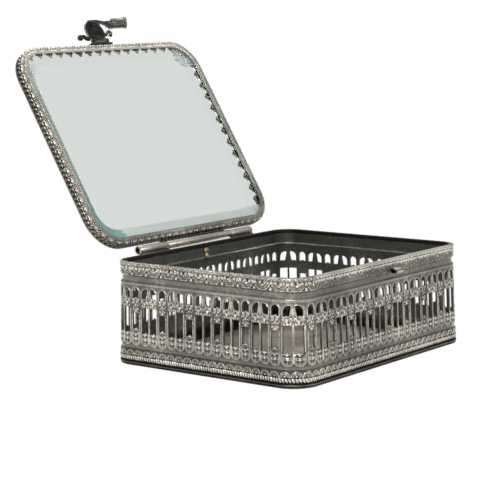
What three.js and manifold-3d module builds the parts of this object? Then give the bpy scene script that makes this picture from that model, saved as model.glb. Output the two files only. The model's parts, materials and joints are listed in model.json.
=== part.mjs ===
// A small jewellery casket: a rounded box of pierced metal with a hinged lid of bevelled glass and a
// clasp on the lid's front rim. Millimetres, +Z up, front to -Y, origin under the middle of the box.
// The lid is modelled closed, in box coordinates, and then turned open about its hinge.
import * as THREE from 'three';
import * as BufferGeometryUtils from 'three/addons/utils/BufferGeometryUtils.js';
import Module from 'manifold-3d';

const wasm = await Module();
wasm.setup();

// Driving dimensions of the box
const WIDTH = 120;
const DEPTH = 99.6;
const HEIGHT = 42.9;
const CORNER_RADIUS = 11.1;
const CORNER_STEPS = 6;

// Levels of the wall, from the foot up
const MOLDING_TOP = 7.1;
const BAND_BOTTOM = 7.2;
const SCALLOP_BOTTOM = 9;
const SLOT_BOTTOM = 13.6;
const SHORT_SLOT_BOTTOM = 15.3;
const SHORT_SLOT_TOP = 22.5;
const SLOT_TOP = 24.8;
const ARCH_BOTTOM = 27.9;
const ARCH_TOP = 32.4;
const BEAD_ROW_BOTTOM = 33.4;
const BAND_TOP = 41.3;
const FLOOR_THICKNESS = 1;

// Insets from the foot's outline, measured inwards
const LOWER_COVE_INSET = 0.9;
const GALLERY_INSET = 0.6;
const GALLERY_TOP_INSET = 1.3;
const UPPER_COVE_INSET = 1.9;
const LIP_INSET = 1;
const WALL_THICKNESS = 1.3;
const LIP_INNER_INSET = 3.3;
const MOLDING_INNER_INSET = 2.4;
const FOOT_INNER_INSET = 4;
const SEAM_GAP = 0.3;

// The strip inside the lip, and the solder behind the seam
const STRIP_INSET = 3;
const STRIP_THICKNESS = 0.5;
const STRIP_BOTTOM = 36.2;
const SEAM_SOLDER_WIDTH = 3;
const SEAM_SOLDER_THICKNESS = 0.5;

// The pattern of the gallery: a narrow slot, then a pair of tall slots, all round the box. Each run
// is a number of repeats and their pitch, from the first narrow slot on the front's left.
const GALLERY_RUNS = [[7, 13.1], [2, 13.9], [5, 14.4], [1, 16]];
const FIRST_SLOT_X = -50.8;
const SHORT_SLOT_SHARE = 0.233;
const TALL_SLOT_SHARE = 0.245;
const PAIR_BAR_SHARE = 0.062;

// Hinge
const HINGE_Y = DEPTH / 2 + 2;
const HINGE_Z = 44.1;
const LID_OPEN_ANGLE = THREE.MathUtils.degToRad(121.4);
const KNUCKLE_RADIUS = 1.8;
const KNUCKLE_BORE = 1.1;
const HINGE_PIN_RADIUS = 0.8;
const HINGE_LEFT_END = -38.5;
const HINGE_LEFT_JOINT = -20.5;
const HINGE_RIGHT_JOINT = 22.5;
const HINGE_RIGHT_END = 37.5;
const LEAF_THICKNESS = 0.9;

// Lid
const LID_WIDTH = 116.4;
const LID_DEPTH = 97.1;
const LID_CENTRE_Y = -0.2;
const LID_CORNER_RADIUS = 14.5;
const LID_BOTTOM = HEIGHT + 0.4;
const LID_THICKNESS = 4.8;
const LID_TOP = LID_BOTTOM + LID_THICKNESS;
const FRAME_WALL = 1.2;
const FRAME_FLANGE_WIDTH = 3.3;
const FRAME_FLANGE_THICKNESS = 1;
const BEZEL_THICKNESS = 0.6;
const TOOTH_PITCH = 6.1;
const TOOTH_DEPTH = 4.4;
const FIT_GAP = 0.3;
const GLASS_INSET = 1.7;
const GLASS_THICKNESS = 3.9;
const GLASS_EDGE_THICKNESS = 1.7;
const BEVEL_WIDTH = 6.3;

// Clasp, placed from its pivot on the lid's front rim
const CLASP_X = -1.2;
const PIVOT_STANDOFF = 2.2;
const PIVOT_ABOVE_RIM = 1;
const CLASP_KNUCKLE_RADIUS = 1.1;
const CLASP_BORE = 0.65;
const CLASP_PIN_RADIUS = 0.45;
const CLASP_KNUCKLE_LENGTH = 7;
const CLASP_EAR_THICKNESS = 1;
const FLANGE_WIDTH = 14;
const FLANGE_THICKNESS = 0.7;
const FLANGE_HEIGHT = 3.4;
const FLANGE_DROP = 0.4;
const DISC_RADIUS = 5.7;
const DISC_X = -0.8;
const DISC_CENTRE = 4.5;
const DISC_DEPTH = 1.7;
const DISC_THICKNESS = 0.7;
const TUBE_RADIUS = 2.4;
const TUBE_BORE = 1.9;
const TUBE_LENGTH = 7;
const TUBE_RIM = 0.4;
const TUBE_START = new THREE.Vector3(16.2, -10.5, 3);
const TUBE_DIRECTION = new THREE.Vector3(0.854, 0.227, -0.467);
const BAR_ROUTE = [
  [-2.2, -10.2, 0], [0.6, -10.3, 0], [2.8, -10.2, 0], [5.6, -9.8, 0.2], [8.6, -9.6, 0.9], [13.1, -9.3, 1.7],
];
const BAR_RADII = [0.45, 0.55, 0.65, 0.75, 0.85, 1, 1.15, 1.55, 2.3];

// Catch block
const CATCH_LEFT = 4;
const CATCH_RIGHT = 8.6;
const CATCH_BOTTOM = 36.7;
const CATCH_TOP = 39.5;
const CATCH_REACH = 3.3;
const CATCH_NOSE_DROP = 0.9;
const CATCH_SHEET = 0.7;

// ---- materials ----

function metal(name, color, roughness, metalness = 1) {
  return new THREE.MeshStandardMaterial({ name, color, roughness, metalness });
}

const agedSilver = metal('aged_silver', 0x8f8b82, 0.42);
const polishedSilver = metal('polished_silver', 0xbab6aa, 0.3);
const floorMetal = metal('floor_metal', 0x6d675a, 0.55);
const darkSilver = metal('dark_silver', 0x4a4a46, 0.4);
const solder = metal('solder', 0x9a7c4e, 0.5);
const glass = new THREE.MeshStandardMaterial({
  name: 'bevelled_glass',
  color: 0xd8dcda,
  roughness: 0.05,
  metalness: 0,
  transparent: true,
  opacity: 0.4,
});

// ---- geometry helpers ----

// Points of a rounded rectangle, anticlockwise from the right end of the front side.
function roundedOutline(halfWidth, halfDepth, radius, steps = CORNER_STEPS) {
  const corners = [
    [halfWidth - radius, radius - halfDepth, -Math.PI / 2],
    [halfWidth - radius, halfDepth - radius, 0],
    [radius - halfWidth, halfDepth - radius, Math.PI / 2],
    [radius - halfWidth, radius - halfDepth, Math.PI],
  ];
  const points = [];
  for (const [x, y, start] of corners) {
    for (let i = 0; i <= steps; i += 1) {
      const angle = start + (Math.PI / 2) * (i / steps);
      points.push(new THREE.Vector2(x + radius * Math.cos(angle), y + radius * Math.sin(angle)));
    }
  }
  return points;
}

// A closed ring: a profile of [inset, z] points, anticlockwise seen with the outside to the right,
// carried round a rounded rectangle.
function ringSweep(profile, halfWidth, halfDepth, radius) {
  const loops = profile.map(([inset, z]) => {
    const outline = roundedOutline(halfWidth - inset, halfDepth - inset, radius - inset);
    return outline.map((p) => [p.x, p.y, z]);
  });
  const around = loops[0].length;
  const positions = loops.flat(2);
  const index = [];
  for (let i = 0; i < loops.length; i += 1) {
    const next = (i + 1) % loops.length;
    for (let j = 0; j < around; j += 1) {
      const a = i * around + j;
      const b = i * around + ((j + 1) % around);
      const c = next * around + ((j + 1) % around);
      const d = next * around + j;
      index.push(a, b, c, a, c, d);
    }
  }
  const geometry = new THREE.BufferGeometry();
  geometry.setAttribute('position', new THREE.Float32BufferAttribute(positions, 3));
  geometry.setIndex(index);
  return geometry;
}

function extrudeUp(shape, bottom, height, curveSegments = 6) {
  const geometry = new THREE.ExtrudeGeometry(shape, { depth: height, bevelEnabled: false, curveSegments });
  return geometry.translate(0, 0, bottom);
}

// A shape drawn in (y, z), extruded along X from x0 to x1.
function extrudeAcross(shape, x0, x1, curveSegments = 6) {
  const geometry = new THREE.ExtrudeGeometry(shape, {
    depth: x1 - x0,
    bevelEnabled: false,
    curveSegments,
  });
  const turn = new THREE.Matrix4().set(0, 0, 1, x0, 1, 0, 0, 0, 0, 1, 0, 0, 0, 0, 0, 1);
  return geometry.applyMatrix4(turn);
}

function solidOf(geometry) {
  const bare = new THREE.BufferGeometry();
  bare.setAttribute('position', geometry.getAttribute('position').clone());
  if (geometry.index) bare.setIndex(geometry.index.clone());
  const merged = BufferGeometryUtils.mergeVertices(bare, 1e-4);
  return new wasm.Manifold(new wasm.Mesh({
    numProp: 3,
    vertProperties: new Float32Array(merged.getAttribute('position').array),
    triVerts: new Uint32Array(merged.index.array),
  }));
}

function geometryOf(solid) {
  const mesh = solid.getMesh();
  const geometry = new THREE.BufferGeometry();
  geometry.setAttribute('position', new THREE.Float32BufferAttribute(mesh.vertProperties, 3));
  geometry.setIndex(Array.from(mesh.triVerts));
  return geometry;
}

function joined(geometries) {
  return geometryOf(geometries.map(solidOf).reduce((all, one) => all.add(one)));
}

function cut(geometry, cutters) {
  const tools = cutters.map(solidOf).reduce((all, one) => all.add(one));
  return geometryOf(solidOf(geometry).subtract(tools));
}

function named(name, geometry, material) {
  const mesh = new THREE.Mesh(geometry, material);
  mesh.name = name;
  return mesh;
}

function polygon(points) {
  return new THREE.Shape(points.map(([x, y]) => new THREE.Vector2(x, y)));
}

function rectangle(x0, y0, x1, y1) {
  return polygon([[x0, y0], [x1, y0], [x1, y1], [x0, y1]]);
}

// A round bar along a curve, with a radius for each of its stations.
function taperedBar(curve, radii, sides = 8) {
  const rings = radii.map((radius, i) => {
    const t = i / (radii.length - 1);
    const centre = curve.getPoint(t);
    const tangent = curve.getTangent(t);
    const side = new THREE.Vector3(0, 0, 1).cross(tangent).normalize();
    const up = tangent.clone().cross(side);
    return Array.from({ length: sides }, (_, k) => {
      const angle = (2 * Math.PI * k) / sides;
      return centre.clone()
        .addScaledVector(side, radius * Math.cos(angle))
        .addScaledVector(up, radius * Math.sin(angle));
    });
  });
  const positions = rings.flat().concat([curve.getPoint(0), curve.getPoint(1)]).flatMap((p) => p.toArray());
  const index = [];
  const last = (rings.length - 1) * sides;
  for (let k = 0; k < sides; k += 1) {
    const next = (k + 1) % sides;
    for (let i = 0; i < rings.length - 1; i += 1) {
      const a = i * sides + k;
      const b = i * sides + next;
      index.push(a, b, b + sides, a, b + sides, a + sides);
    }
    index.push(rings.length * sides, next, k);
    index.push(rings.length * sides + 1, last + k, last + next);
  }
  const geometry = new THREE.BufferGeometry();
  geometry.setAttribute('position', new THREE.Float32BufferAttribute(positions, 3));
  geometry.setIndex(index);
  return geometry;
}

// ---- box body ----

const halfWidth = WIDTH / 2;
const halfDepth = DEPTH / 2;

function boxRing(profile) {
  return ringSweep(profile, halfWidth, halfDepth, CORNER_RADIUS);
}

function baseMolding() {
  return named('base_molding', boxRing([
    [FOOT_INNER_INSET, 0], [0.5, 0], [0, 0.6], [0, 2], [0.45, 2.4], [0, 2.9], [0, 4.3], [0.35, 4.6],
    [0.3, 5.8], [1, MOLDING_TOP], [MOLDING_INNER_INSET, MOLDING_TOP],
    [MOLDING_INNER_INSET, FLOOR_THICKNESS], [FOOT_INNER_INSET, FLOOR_THICKNESS],
  ]), agedSilver);
}

function floorPlate() {
  const inset = FOOT_INNER_INSET + FIT_GAP;
  const outline = roundedOutline(halfWidth - inset, halfDepth - inset, CORNER_RADIUS - inset);
  return named('floor_plate', extrudeUp(new THREE.Shape(outline), 0, FLOOR_THICKNESS), floorMetal);
}

// A point of the wall's outline at a distance along it, anticlockwise from the left end of the
// front's straight, with the direction that faces outwards there.
function alongWall(distance) {
  const radius = CORNER_RADIUS - GALLERY_INSET;
  const straightX = WIDTH - 2 * CORNER_RADIUS;
  const straightY = DEPTH - 2 * CORNER_RADIUS;
  const arc = (Math.PI / 2) * radius;
  const sides = [
    { length: straightX, centre: [straightX / 2, -straightY / 2], facing: -Math.PI / 2 },
    { length: straightY, centre: [straightX / 2, straightY / 2], facing: 0 },
    { length: straightX, centre: [-straightX / 2, straightY / 2], facing: Math.PI / 2 },
    { length: straightY, centre: [-straightX / 2, -straightY / 2], facing: Math.PI },
  ];
  const total = 2 * (straightX + straightY) + 4 * arc;
  let left = ((distance % total) + total) % total;
  for (const { length, centre, facing } of sides) {
    const before = Math.max(length - left, 0);
    const turned = Math.max(left - length, 0);
    if (turned <= arc) {
      const angle = facing + turned / radius;
      const x = centre[0] + radius * Math.cos(angle) + before * Math.sin(facing);
      const y = centre[1] + radius * Math.sin(angle) - before * Math.cos(facing);
      return { x, y, angle };
    }
    left -= length + arc;
  }
  throw new Error('no such place on the wall');
}

function wallLength() {
  return 2 * (WIDTH + DEPTH - 4 * CORNER_RADIUS) + 2 * Math.PI * (CORNER_RADIUS - GALLERY_INSET);
}

// A cutter through the wall at a distance along it, from a shape drawn in (along, z).
function wallCutter(shape, distance) {
  const { x, y, angle } = alongWall(distance);
  const reach = 2 * WALL_THICKNESS + 2;
  const geometry = new THREE.ExtrudeGeometry(shape, { depth: reach, bevelEnabled: false });
  const place = new THREE.Matrix4().makeTranslation(x, y, 0)
    .multiply(new THREE.Matrix4().makeRotationZ(angle + Math.PI / 2))
    .multiply(new THREE.Matrix4().makeRotationX(Math.PI / 2))
    .multiply(new THREE.Matrix4().makeTranslation(0, 0, 1 - reach));
  return geometry.applyMatrix4(place);
}

function roundArch(width) {
  const half = width / 2;
  const spring = ARCH_TOP - half;
  return polygon([
    [-half, ARCH_BOTTOM], [half, ARCH_BOTTOM], [half, spring],
    [0.55 * half, ARCH_TOP - 0.15], [-0.55 * half, ARCH_TOP - 0.15], [-half, spring],
  ]);
}

// Half of the split arch over a pair, on the side given by direction.
function splitArch(width, direction) {
  const points = [
    [-width / 2, ARCH_BOTTOM + 0.4], [width / 2, ARCH_BOTTOM + 0.4], [width / 2, ARCH_BOTTOM + 2],
    [0, ARCH_TOP - 0.3], [-width / 2, ARCH_TOP],
  ].map(([x, z]) => [direction * x, z]);
  return polygon(direction > 0 ? points : points.reverse());
}

function galleryCutters() {
  const runs = [...GALLERY_RUNS, ...GALLERY_RUNS];
  const drawn = runs.reduce((sum, [count, pitch]) => sum + count * pitch, 0);
  const scale = wallLength() / drawn;
  const cutters = [];
  let place = FIRST_SLOT_X + WIDTH / 2 - CORNER_RADIUS;
  for (const [count, drawnPitch] of runs) {
    const pitch = drawnPitch * scale;
    const short = SHORT_SLOT_SHARE * pitch;
    const tall = TALL_SLOT_SHARE * pitch;
    const aside = (tall + PAIR_BAR_SHARE * pitch) / 2;
    for (let i = 0; i < count; i += 1) {
      cutters.push(wallCutter(rectangle(-short / 2, SHORT_SLOT_BOTTOM, short / 2, SHORT_SLOT_TOP), place));
      cutters.push(wallCutter(roundArch(short), place));
      for (const direction of [-1, 1]) {
        const middle = place + pitch / 2 + direction * aside;
        cutters.push(wallCutter(rectangle(-tall / 2, SLOT_BOTTOM, tall / 2, SLOT_TOP), middle));
        cutters.push(wallCutter(splitArch(tall, direction), middle));
      }
      place += pitch;
    }
  }
  return cutters;
}

function galleryBand() {
  const wall = boxRing([
    [LOWER_COVE_INSET + WALL_THICKNESS, BAND_BOTTOM],
    [LOWER_COVE_INSET, BAND_BOTTOM],
    [GALLERY_INSET, SCALLOP_BOTTOM],
    [GALLERY_TOP_INSET, BEAD_ROW_BOTTOM],
    [GALLERY_TOP_INSET, 34.4],
    [UPPER_COVE_INSET, 35.1],
    [UPPER_COVE_INSET, 37],
    [GALLERY_TOP_INSET, 37.6],
    [GALLERY_TOP_INSET, BAND_TOP],
    [UPPER_COVE_INSET + 1, BAND_TOP],
    [UPPER_COVE_INSET + 1, 35],
    [GALLERY_TOP_INSET + WALL_THICKNESS, BEAD_ROW_BOTTOM],
    [GALLERY_INSET + WALL_THICKNESS, SCALLOP_BOTTOM],
  ]);
  const seam = new THREE.BoxGeometry(SEAM_GAP, 8, HEIGHT).translate(0, halfDepth - 2, HEIGHT / 2);
  return named('gallery_band', cut(wall, [...galleryCutters(), seam]), agedSilver);
}

function topRim() {
  return named('top_rim', boxRing([
    [GALLERY_TOP_INSET, BAND_TOP], [LIP_INSET, BAND_TOP + 0.5], [LIP_INSET, HEIGHT - 0.5],
    [LIP_INSET + 0.4, HEIGHT], [LIP_INNER_INSET - 0.4, HEIGHT], [LIP_INNER_INSET, HEIGHT - 0.4],
    [LIP_INNER_INSET, BAND_TOP],
  ]), polishedSilver);
}

function innerStrip() {
  const outer = STRIP_INSET;
  const inner = STRIP_INSET + STRIP_THICKNESS;
  const top = BAND_TOP - 0.1;
  return named('inner_strip', boxRing([
    [inner, STRIP_BOTTOM], [outer, STRIP_BOTTOM], [outer, top], [inner, top],
  ]), polishedSilver);
}

function seamSolder() {
  const outer = halfDepth - STRIP_INSET - STRIP_THICKNESS - 0.1;
  const shape = rectangle(outer - SEAM_SOLDER_THICKNESS, STRIP_BOTTOM + 0.2, outer, BAND_TOP - 0.3);
  const reach = SEAM_SOLDER_WIDTH / 2;
  return named('seam_solder', extrudeAcross(shape, -reach, reach), solder);
}

// A bent strip, open underneath: its top slopes down to the nose, which folds down.
function catchBlock() {
  const face = GALLERY_TOP_INSET - halfDepth - 0.05;
  const nose = face - CATCH_REACH;
  const noseTop = CATCH_TOP - CATCH_NOSE_DROP;
  const shape = polygon([
    [face, CATCH_TOP - CATCH_SHEET], [face, CATCH_TOP], [nose, noseTop], [nose, CATCH_BOTTOM],
    [nose + CATCH_SHEET, CATCH_BOTTOM], [nose + CATCH_SHEET, noseTop - CATCH_SHEET],
  ].reverse());
  return named('catch_block', extrudeAcross(shape, CATCH_LEFT, CATCH_RIGHT), polishedSilver);
}

// ---- hinge ----

// A leaf rolled round the pin, drawn in (y, z): a plate that ends in a knuckle with a bore. The
// plate stands on one side of the axis and reaches from plateBottom to plateTop.
function rolledLeaf(x0, x1, plateY, plateBottom, plateTop) {
  const plate = rectangle(plateY, plateBottom, plateY + LEAF_THICKNESS, plateTop);
  const boreSide = HINGE_Y - (KNUCKLE_RADIUS + KNUCKLE_BORE) / 2;
  const bridge = rectangle(plateY + 0.1, HINGE_Z - 0.45, boreSide, HINGE_Z + 0.45);
  const knuckle = new THREE.Shape();
  knuckle.absarc(HINGE_Y, HINGE_Z, KNUCKLE_RADIUS, 0, 2 * Math.PI);
  const bore = new THREE.Path();
  bore.absarc(HINGE_Y, HINGE_Z, KNUCKLE_BORE, 0, 2 * Math.PI);
  knuckle.holes.push(bore);
  return joined([plate, bridge, knuckle].map((shape) => extrudeAcross(shape, x0, x1, 8)));
}

function boxLeaf(name, x0, x1) {
  const plateY = halfDepth - LIP_INSET + 0.2;
  return named(name, rolledLeaf(x0, x1, plateY, 37.8, HINGE_Z + 0.45), polishedSilver);
}

function hingePin() {
  const length = HINGE_RIGHT_END - HINGE_LEFT_END - 1.6;
  const pin = new THREE.CylinderGeometry(HINGE_PIN_RADIUS, HINGE_PIN_RADIUS, length, 12);
  pin.rotateZ(Math.PI / 2).translate((HINGE_LEFT_END + HINGE_RIGHT_END) / 2, HINGE_Y, HINGE_Z);
  return named('hinge_pin', pin, darkSilver);
}

// ---- lid, in its closed place ----

const lidHalfWidth = LID_WIDTH / 2;
const lidHalfDepth = LID_DEPTH / 2;

function lidFrame() {
  const wallTop = LID_TOP - BEZEL_THICKNESS - FIT_GAP;
  const ring = ringSweep([
    [FRAME_FLANGE_WIDTH, LID_BOTTOM], [0.5, LID_BOTTOM], [0, LID_BOTTOM + 0.6],
    [0, wallTop], [FRAME_WALL, wallTop], [FRAME_WALL, LID_BOTTOM + FRAME_FLANGE_THICKNESS],
    [FRAME_FLANGE_WIDTH, LID_BOTTOM + FRAME_FLANGE_THICKNESS],
  ], lidHalfWidth, lidHalfDepth, LID_CORNER_RADIUS);
  return named('lid_frame', ring.translate(0, LID_CENTRE_Y, 0), agedSilver);
}

// Teeth along one straight edge, as points from start to end with the tips to the left of the way.
function toothedEdge(start, end) {
  const length = start.distanceTo(end);
  const count = Math.round(length / TOOTH_PITCH);
  const along = end.clone().sub(start).normalize();
  const inward = new THREE.Vector2(-along.y, along.x);
  const pitch = length / count;
  const points = [];
  for (let i = 0; i < count; i += 1) {
    for (const [share, depth] of [[0.2, 0], [0.32, 0.6], [0.44, 1], [0.56, 1], [0.68, 0.6], [0.8, 0]]) {
      points.push(start.clone()
        .addScaledVector(along, (i + share) * pitch)
        .addScaledVector(inward, depth * (TOOTH_DEPTH - 1.6)));
    }
  }
  return points;
}

function lidBezel() {
  const inset = 1.6;
  const inner = roundedOutline(lidHalfWidth - inset, lidHalfDepth - inset, LID_CORNER_RADIUS - inset, 3);
  const edge = [];
  inner.forEach((point, i) => {
    edge.push(...toothedEdge(point, inner[(i + 1) % inner.length]));
  });
  const plate = new THREE.Shape(roundedOutline(lidHalfWidth, lidHalfDepth, LID_CORNER_RADIUS));
  plate.holes.push(new THREE.Path(edge));
  const bottom = LID_TOP - BEZEL_THICKNESS;
  const bezel = extrudeUp(plate, bottom, BEZEL_THICKNESS).translate(0, LID_CENTRE_Y, 0);
  return named('lid_bezel', bezel, agedSilver);
}

function lidGlass() {
  const bottom = LID_BOTTOM + FRAME_FLANGE_THICKNESS + FIT_GAP;
  const loops = [
    [GLASS_INSET, bottom],
    [GLASS_INSET, bottom + GLASS_EDGE_THICKNESS],
    [GLASS_INSET + BEVEL_WIDTH, bottom + GLASS_THICKNESS - FIT_GAP],
  ].map(([inset, z]) => roundedOutline(
    lidHalfWidth - inset,
    lidHalfDepth - inset,
    LID_CORNER_RADIUS - inset,
  ).map((p) => [p.x, p.y, z]));
  const around = loops[0].length;
  const index = [];
  for (let j = 0; j < around; j += 1) {
    const next = (j + 1) % around;
    for (let i = 0; i < loops.length - 1; i += 1) {
      const low = i * around;
      const high = low + around;
      index.push(low + j, low + next, high + next, low + j, high + next, high + j);
    }
  }
  const top = (loops.length - 1) * around;
  for (let j = 1; j < around - 1; j += 1) {
    index.push(0, j + 1, j);
    index.push(top, top + j, top + j + 1);
  }
  const pane = new THREE.BufferGeometry();
  pane.setAttribute('position', new THREE.Float32BufferAttribute(loops.flat(2), 3));
  pane.setIndex(index);
  return named('lid_glass', pane.translate(0, LID_CENTRE_Y, 0), glass);
}

function lidLeaf() {
  const plateY = lidHalfDepth + LID_CENTRE_Y + FIT_GAP;
  const leaf = rolledLeaf(
    HINGE_LEFT_JOINT + 0.15,
    HINGE_RIGHT_JOINT - 0.15,
    plateY,
    HINGE_Z - 0.45,
    LID_TOP - 1.2,
  );
  return named('hinge_leaf_middle', leaf, polishedSilver);
}

// ---- clasp ----

const PIVOT_Y = LID_CENTRE_Y - lidHalfDepth - PIVOT_STANDOFF;
const PIVOT_Z = LID_BOTTOM + PIVOT_ABOVE_RIM;

function claspFlange() {
  const rimFace = LID_CENTRE_Y - lidHalfDepth - FIT_GAP;
  const plate = new THREE.BoxGeometry(FLANGE_WIDTH, FLANGE_THICKNESS, FLANGE_HEIGHT);
  plate.translate(CLASP_X, rimFace - FLANGE_THICKNESS / 2, (LID_BOTTOM + LID_TOP) / 2 - FLANGE_DROP);
  const ears = [-1, 1].map((side) => {
    const x = CLASP_X + side * (CLASP_KNUCKLE_LENGTH / 2 + FIT_GAP + CLASP_EAR_THICKNESS / 2);
    const ear = new THREE.Shape();
    ear.absarc(PIVOT_Y, PIVOT_Z, CLASP_KNUCKLE_RADIUS, Math.PI / 2, (3 * Math.PI) / 2);
    ear.lineTo(rimFace - 0.2, PIVOT_Z - CLASP_KNUCKLE_RADIUS + 0.3);
    ear.lineTo(rimFace - 0.2, PIVOT_Z + CLASP_KNUCKLE_RADIUS);
    return extrudeAcross(ear, x - CLASP_EAR_THICKNESS / 2, x + CLASP_EAR_THICKNESS / 2, 5);
  });
  const body = joined([plate, ...ears]);
  const bore = new THREE.CylinderGeometry(CLASP_PIN_RADIUS + 0.1, CLASP_PIN_RADIUS + 0.1, FLANGE_WIDTH, 10);
  bore.rotateZ(Math.PI / 2).translate(CLASP_X, PIVOT_Y, PIVOT_Z);
  return named('clasp_flange', cut(body, [bore]), darkSilver);
}

function claspPin() {
  const length = CLASP_KNUCKLE_LENGTH + 2 * (CLASP_EAR_THICKNESS + FIT_GAP) + 0.8;
  const pin = new THREE.CylinderGeometry(CLASP_PIN_RADIUS, CLASP_PIN_RADIUS, length, 10);
  pin.rotateZ(Math.PI / 2).translate(CLASP_X, PIVOT_Y, PIVOT_Z);
  return named('clasp_pin', pin, darkSilver);
}

// The moving part of the clasp is drawn about its pivot: x to the right, y away from the rim
// (negative), z up from the lid's plane.
function claspDisc() {
  const rise = (radius) => DISC_DEPTH * (1 - (radius / DISC_RADIUS) ** 2);
  const outside = [0, 0.35, 0.7, 0.9, 1].map((share) => share * DISC_RADIUS);
  const profile = [
    ...outside.map((r) => new THREE.Vector2(r, rise(r) + DISC_THICKNESS)),
    ...outside.reverse().map((r) => new THREE.Vector2(r, rise(r))),
  ];
  const dish = new THREE.LatheGeometry(profile.reverse(), 28);
  dish.rotateX(Math.PI / 2).translate(DISC_X, -DISC_CENTRE, -0.35);
  const trim = new THREE.BoxGeometry(20, 4, 8).translate(0, 0.6, 0);
  const besideBar = wire(BAR_ROUTE, BAR_RADII.map((radius) => radius + FIT_GAP));
  const tongue = new THREE.BoxGeometry(CLASP_KNUCKLE_LENGTH, 2.4, 0.8).translate(0, -1.9, 0.2);
  const knuckle = new THREE.CylinderGeometry(
    CLASP_KNUCKLE_RADIUS,
    CLASP_KNUCKLE_RADIUS,
    CLASP_KNUCKLE_LENGTH,
    12,
  );
  knuckle.rotateZ(Math.PI / 2);
  const bore = new THREE.CylinderGeometry(CLASP_BORE, CLASP_BORE, CLASP_KNUCKLE_LENGTH + 2, 12);
  bore.rotateZ(Math.PI / 2);
  const plate = solidOf(dish).subtract(solidOf(trim)).subtract(solidOf(besideBar));
  const body = plate.add(solidOf(tongue)).add(solidOf(knuckle));
  return named('clasp_disc', geometryOf(body.subtract(solidOf(bore))), darkSilver);
}

function wire(points, radii) {
  const curve = new THREE.CatmullRomCurve3(points.map(([x, y, z]) => new THREE.Vector3(x, y, z)));
  return taperedBar(curve, radii);
}

function latchBar() {
  return named('latch_bar', wire(BAR_ROUTE, BAR_RADII), darkSilver);
}

function gripTube() {
  const wallEnd = TUBE_LENGTH - 0.6;
  const profile = [
    [0, wallEnd], [TUBE_BORE, wallEnd], [TUBE_BORE, 0], [TUBE_RADIUS, 0], [TUBE_RADIUS, wallEnd],
    [TUBE_RADIUS + TUBE_RIM, wallEnd], [TUBE_RADIUS + TUBE_RIM, TUBE_LENGTH], [0, TUBE_LENGTH],
  ].map(([r, y]) => new THREE.Vector2(r, y));
  const tube = named('grip_tube', new THREE.LatheGeometry(profile, 16), polishedSilver);
  const up = new THREE.Vector3(0, 1, 0);
  tube.quaternion.setFromUnitVectors(up, TUBE_DIRECTION.clone().normalize());
  tube.position.copy(TUBE_START);
  return tube;
}

function scrollLeft() {
  const route = [[-6.2, -1.2, 0], [-7.8, -1.4, 0], [-9.6, -2.5, 0], [-11.6, -1.9, 0]];
  const arm = wire(route, [1, 0.95, 0.85, 0.75, 0.65]);
  const ball = new THREE.SphereGeometry(1.35, 10, 8).translate(-11.6, -1.9, 0);
  return named('scroll_left', joined([arm, ball]), darkSilver);
}

function scrollRight() {
  const route = [[5.6, -2.9, 0], [6.9, -4, 0], [8.3, -4.7, 0], [9.2, -3.7, 0], [8.2, -2.4, 0]];
  return named('scroll_right', wire(route, [0.8, 0.8, 0.75, 0.72, 0.72, 0.75, 0.8, 0.7]), darkSilver);
}

// ---- assembly ----

const casket = new THREE.Group();
casket.add(
  baseMolding(),
  floorPlate(),
  galleryBand(),
  topRim(),
  innerStrip(),
  seamSolder(),
  catchBlock(),
  boxLeaf('hinge_leaf_left', HINGE_LEFT_END, HINGE_LEFT_JOINT),
  boxLeaf('hinge_leaf_right', HINGE_RIGHT_JOINT, HINGE_RIGHT_END),
  hingePin(),
);

const clasp = new THREE.Group();
clasp.add(claspDisc(), latchBar(), gripTube(), scrollLeft(), scrollRight());
clasp.position.set(CLASP_X, PIVOT_Y, PIVOT_Z);

const closedLid = new THREE.Group();
closedLid.position.set(0, -HINGE_Y, -HINGE_Z);
closedLid.add(lidFrame(), lidBezel(), lidGlass(), lidLeaf(), claspFlange(), claspPin(), clasp);

const lid = new THREE.Group();
lid.position.set(0, HINGE_Y, HINGE_Z);
lid.rotation.x = -LID_OPEN_ANGLE;
lid.add(closedLid);
casket.add(lid);

export default casket;
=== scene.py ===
"""A small jewellery casket of pierced, embossed silver plate with a bevelled glass lid and a clasp.

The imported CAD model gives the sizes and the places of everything. Lengths here are millimetres in the
same frame (+Z up, front to -Y), and become metres when a mesh is made. The lid's pieces are drawn
closed and then turned open about the hinge, as they stand at rest.
"""

import json
import math

import bmesh
import bpy
import numpy as np
from mathutils import Matrix, Vector
from mathutils.geometry import delaunay_2d_cdt


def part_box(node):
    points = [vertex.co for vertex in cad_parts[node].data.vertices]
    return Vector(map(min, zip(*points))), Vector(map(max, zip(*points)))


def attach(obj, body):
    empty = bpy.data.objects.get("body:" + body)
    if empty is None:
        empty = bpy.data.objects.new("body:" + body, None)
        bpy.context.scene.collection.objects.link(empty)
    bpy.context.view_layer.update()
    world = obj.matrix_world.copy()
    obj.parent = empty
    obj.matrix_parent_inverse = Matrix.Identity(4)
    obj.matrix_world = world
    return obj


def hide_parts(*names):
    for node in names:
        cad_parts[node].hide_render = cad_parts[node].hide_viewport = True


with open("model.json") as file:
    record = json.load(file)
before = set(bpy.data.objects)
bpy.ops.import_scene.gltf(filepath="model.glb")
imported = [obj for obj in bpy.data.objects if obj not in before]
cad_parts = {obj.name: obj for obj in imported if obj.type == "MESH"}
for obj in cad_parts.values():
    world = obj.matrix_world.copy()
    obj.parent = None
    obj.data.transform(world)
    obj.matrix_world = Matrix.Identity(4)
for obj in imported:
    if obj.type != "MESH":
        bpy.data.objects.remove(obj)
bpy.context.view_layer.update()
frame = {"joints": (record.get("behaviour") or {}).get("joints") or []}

MM = 0.001


def corners(node):
    """Lowest and highest corner of a CAD node, in millimetres."""
    low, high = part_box(node)
    return np.array(low) / MM, np.array(high) / MM


# ---- driving dimensions ----

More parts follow.
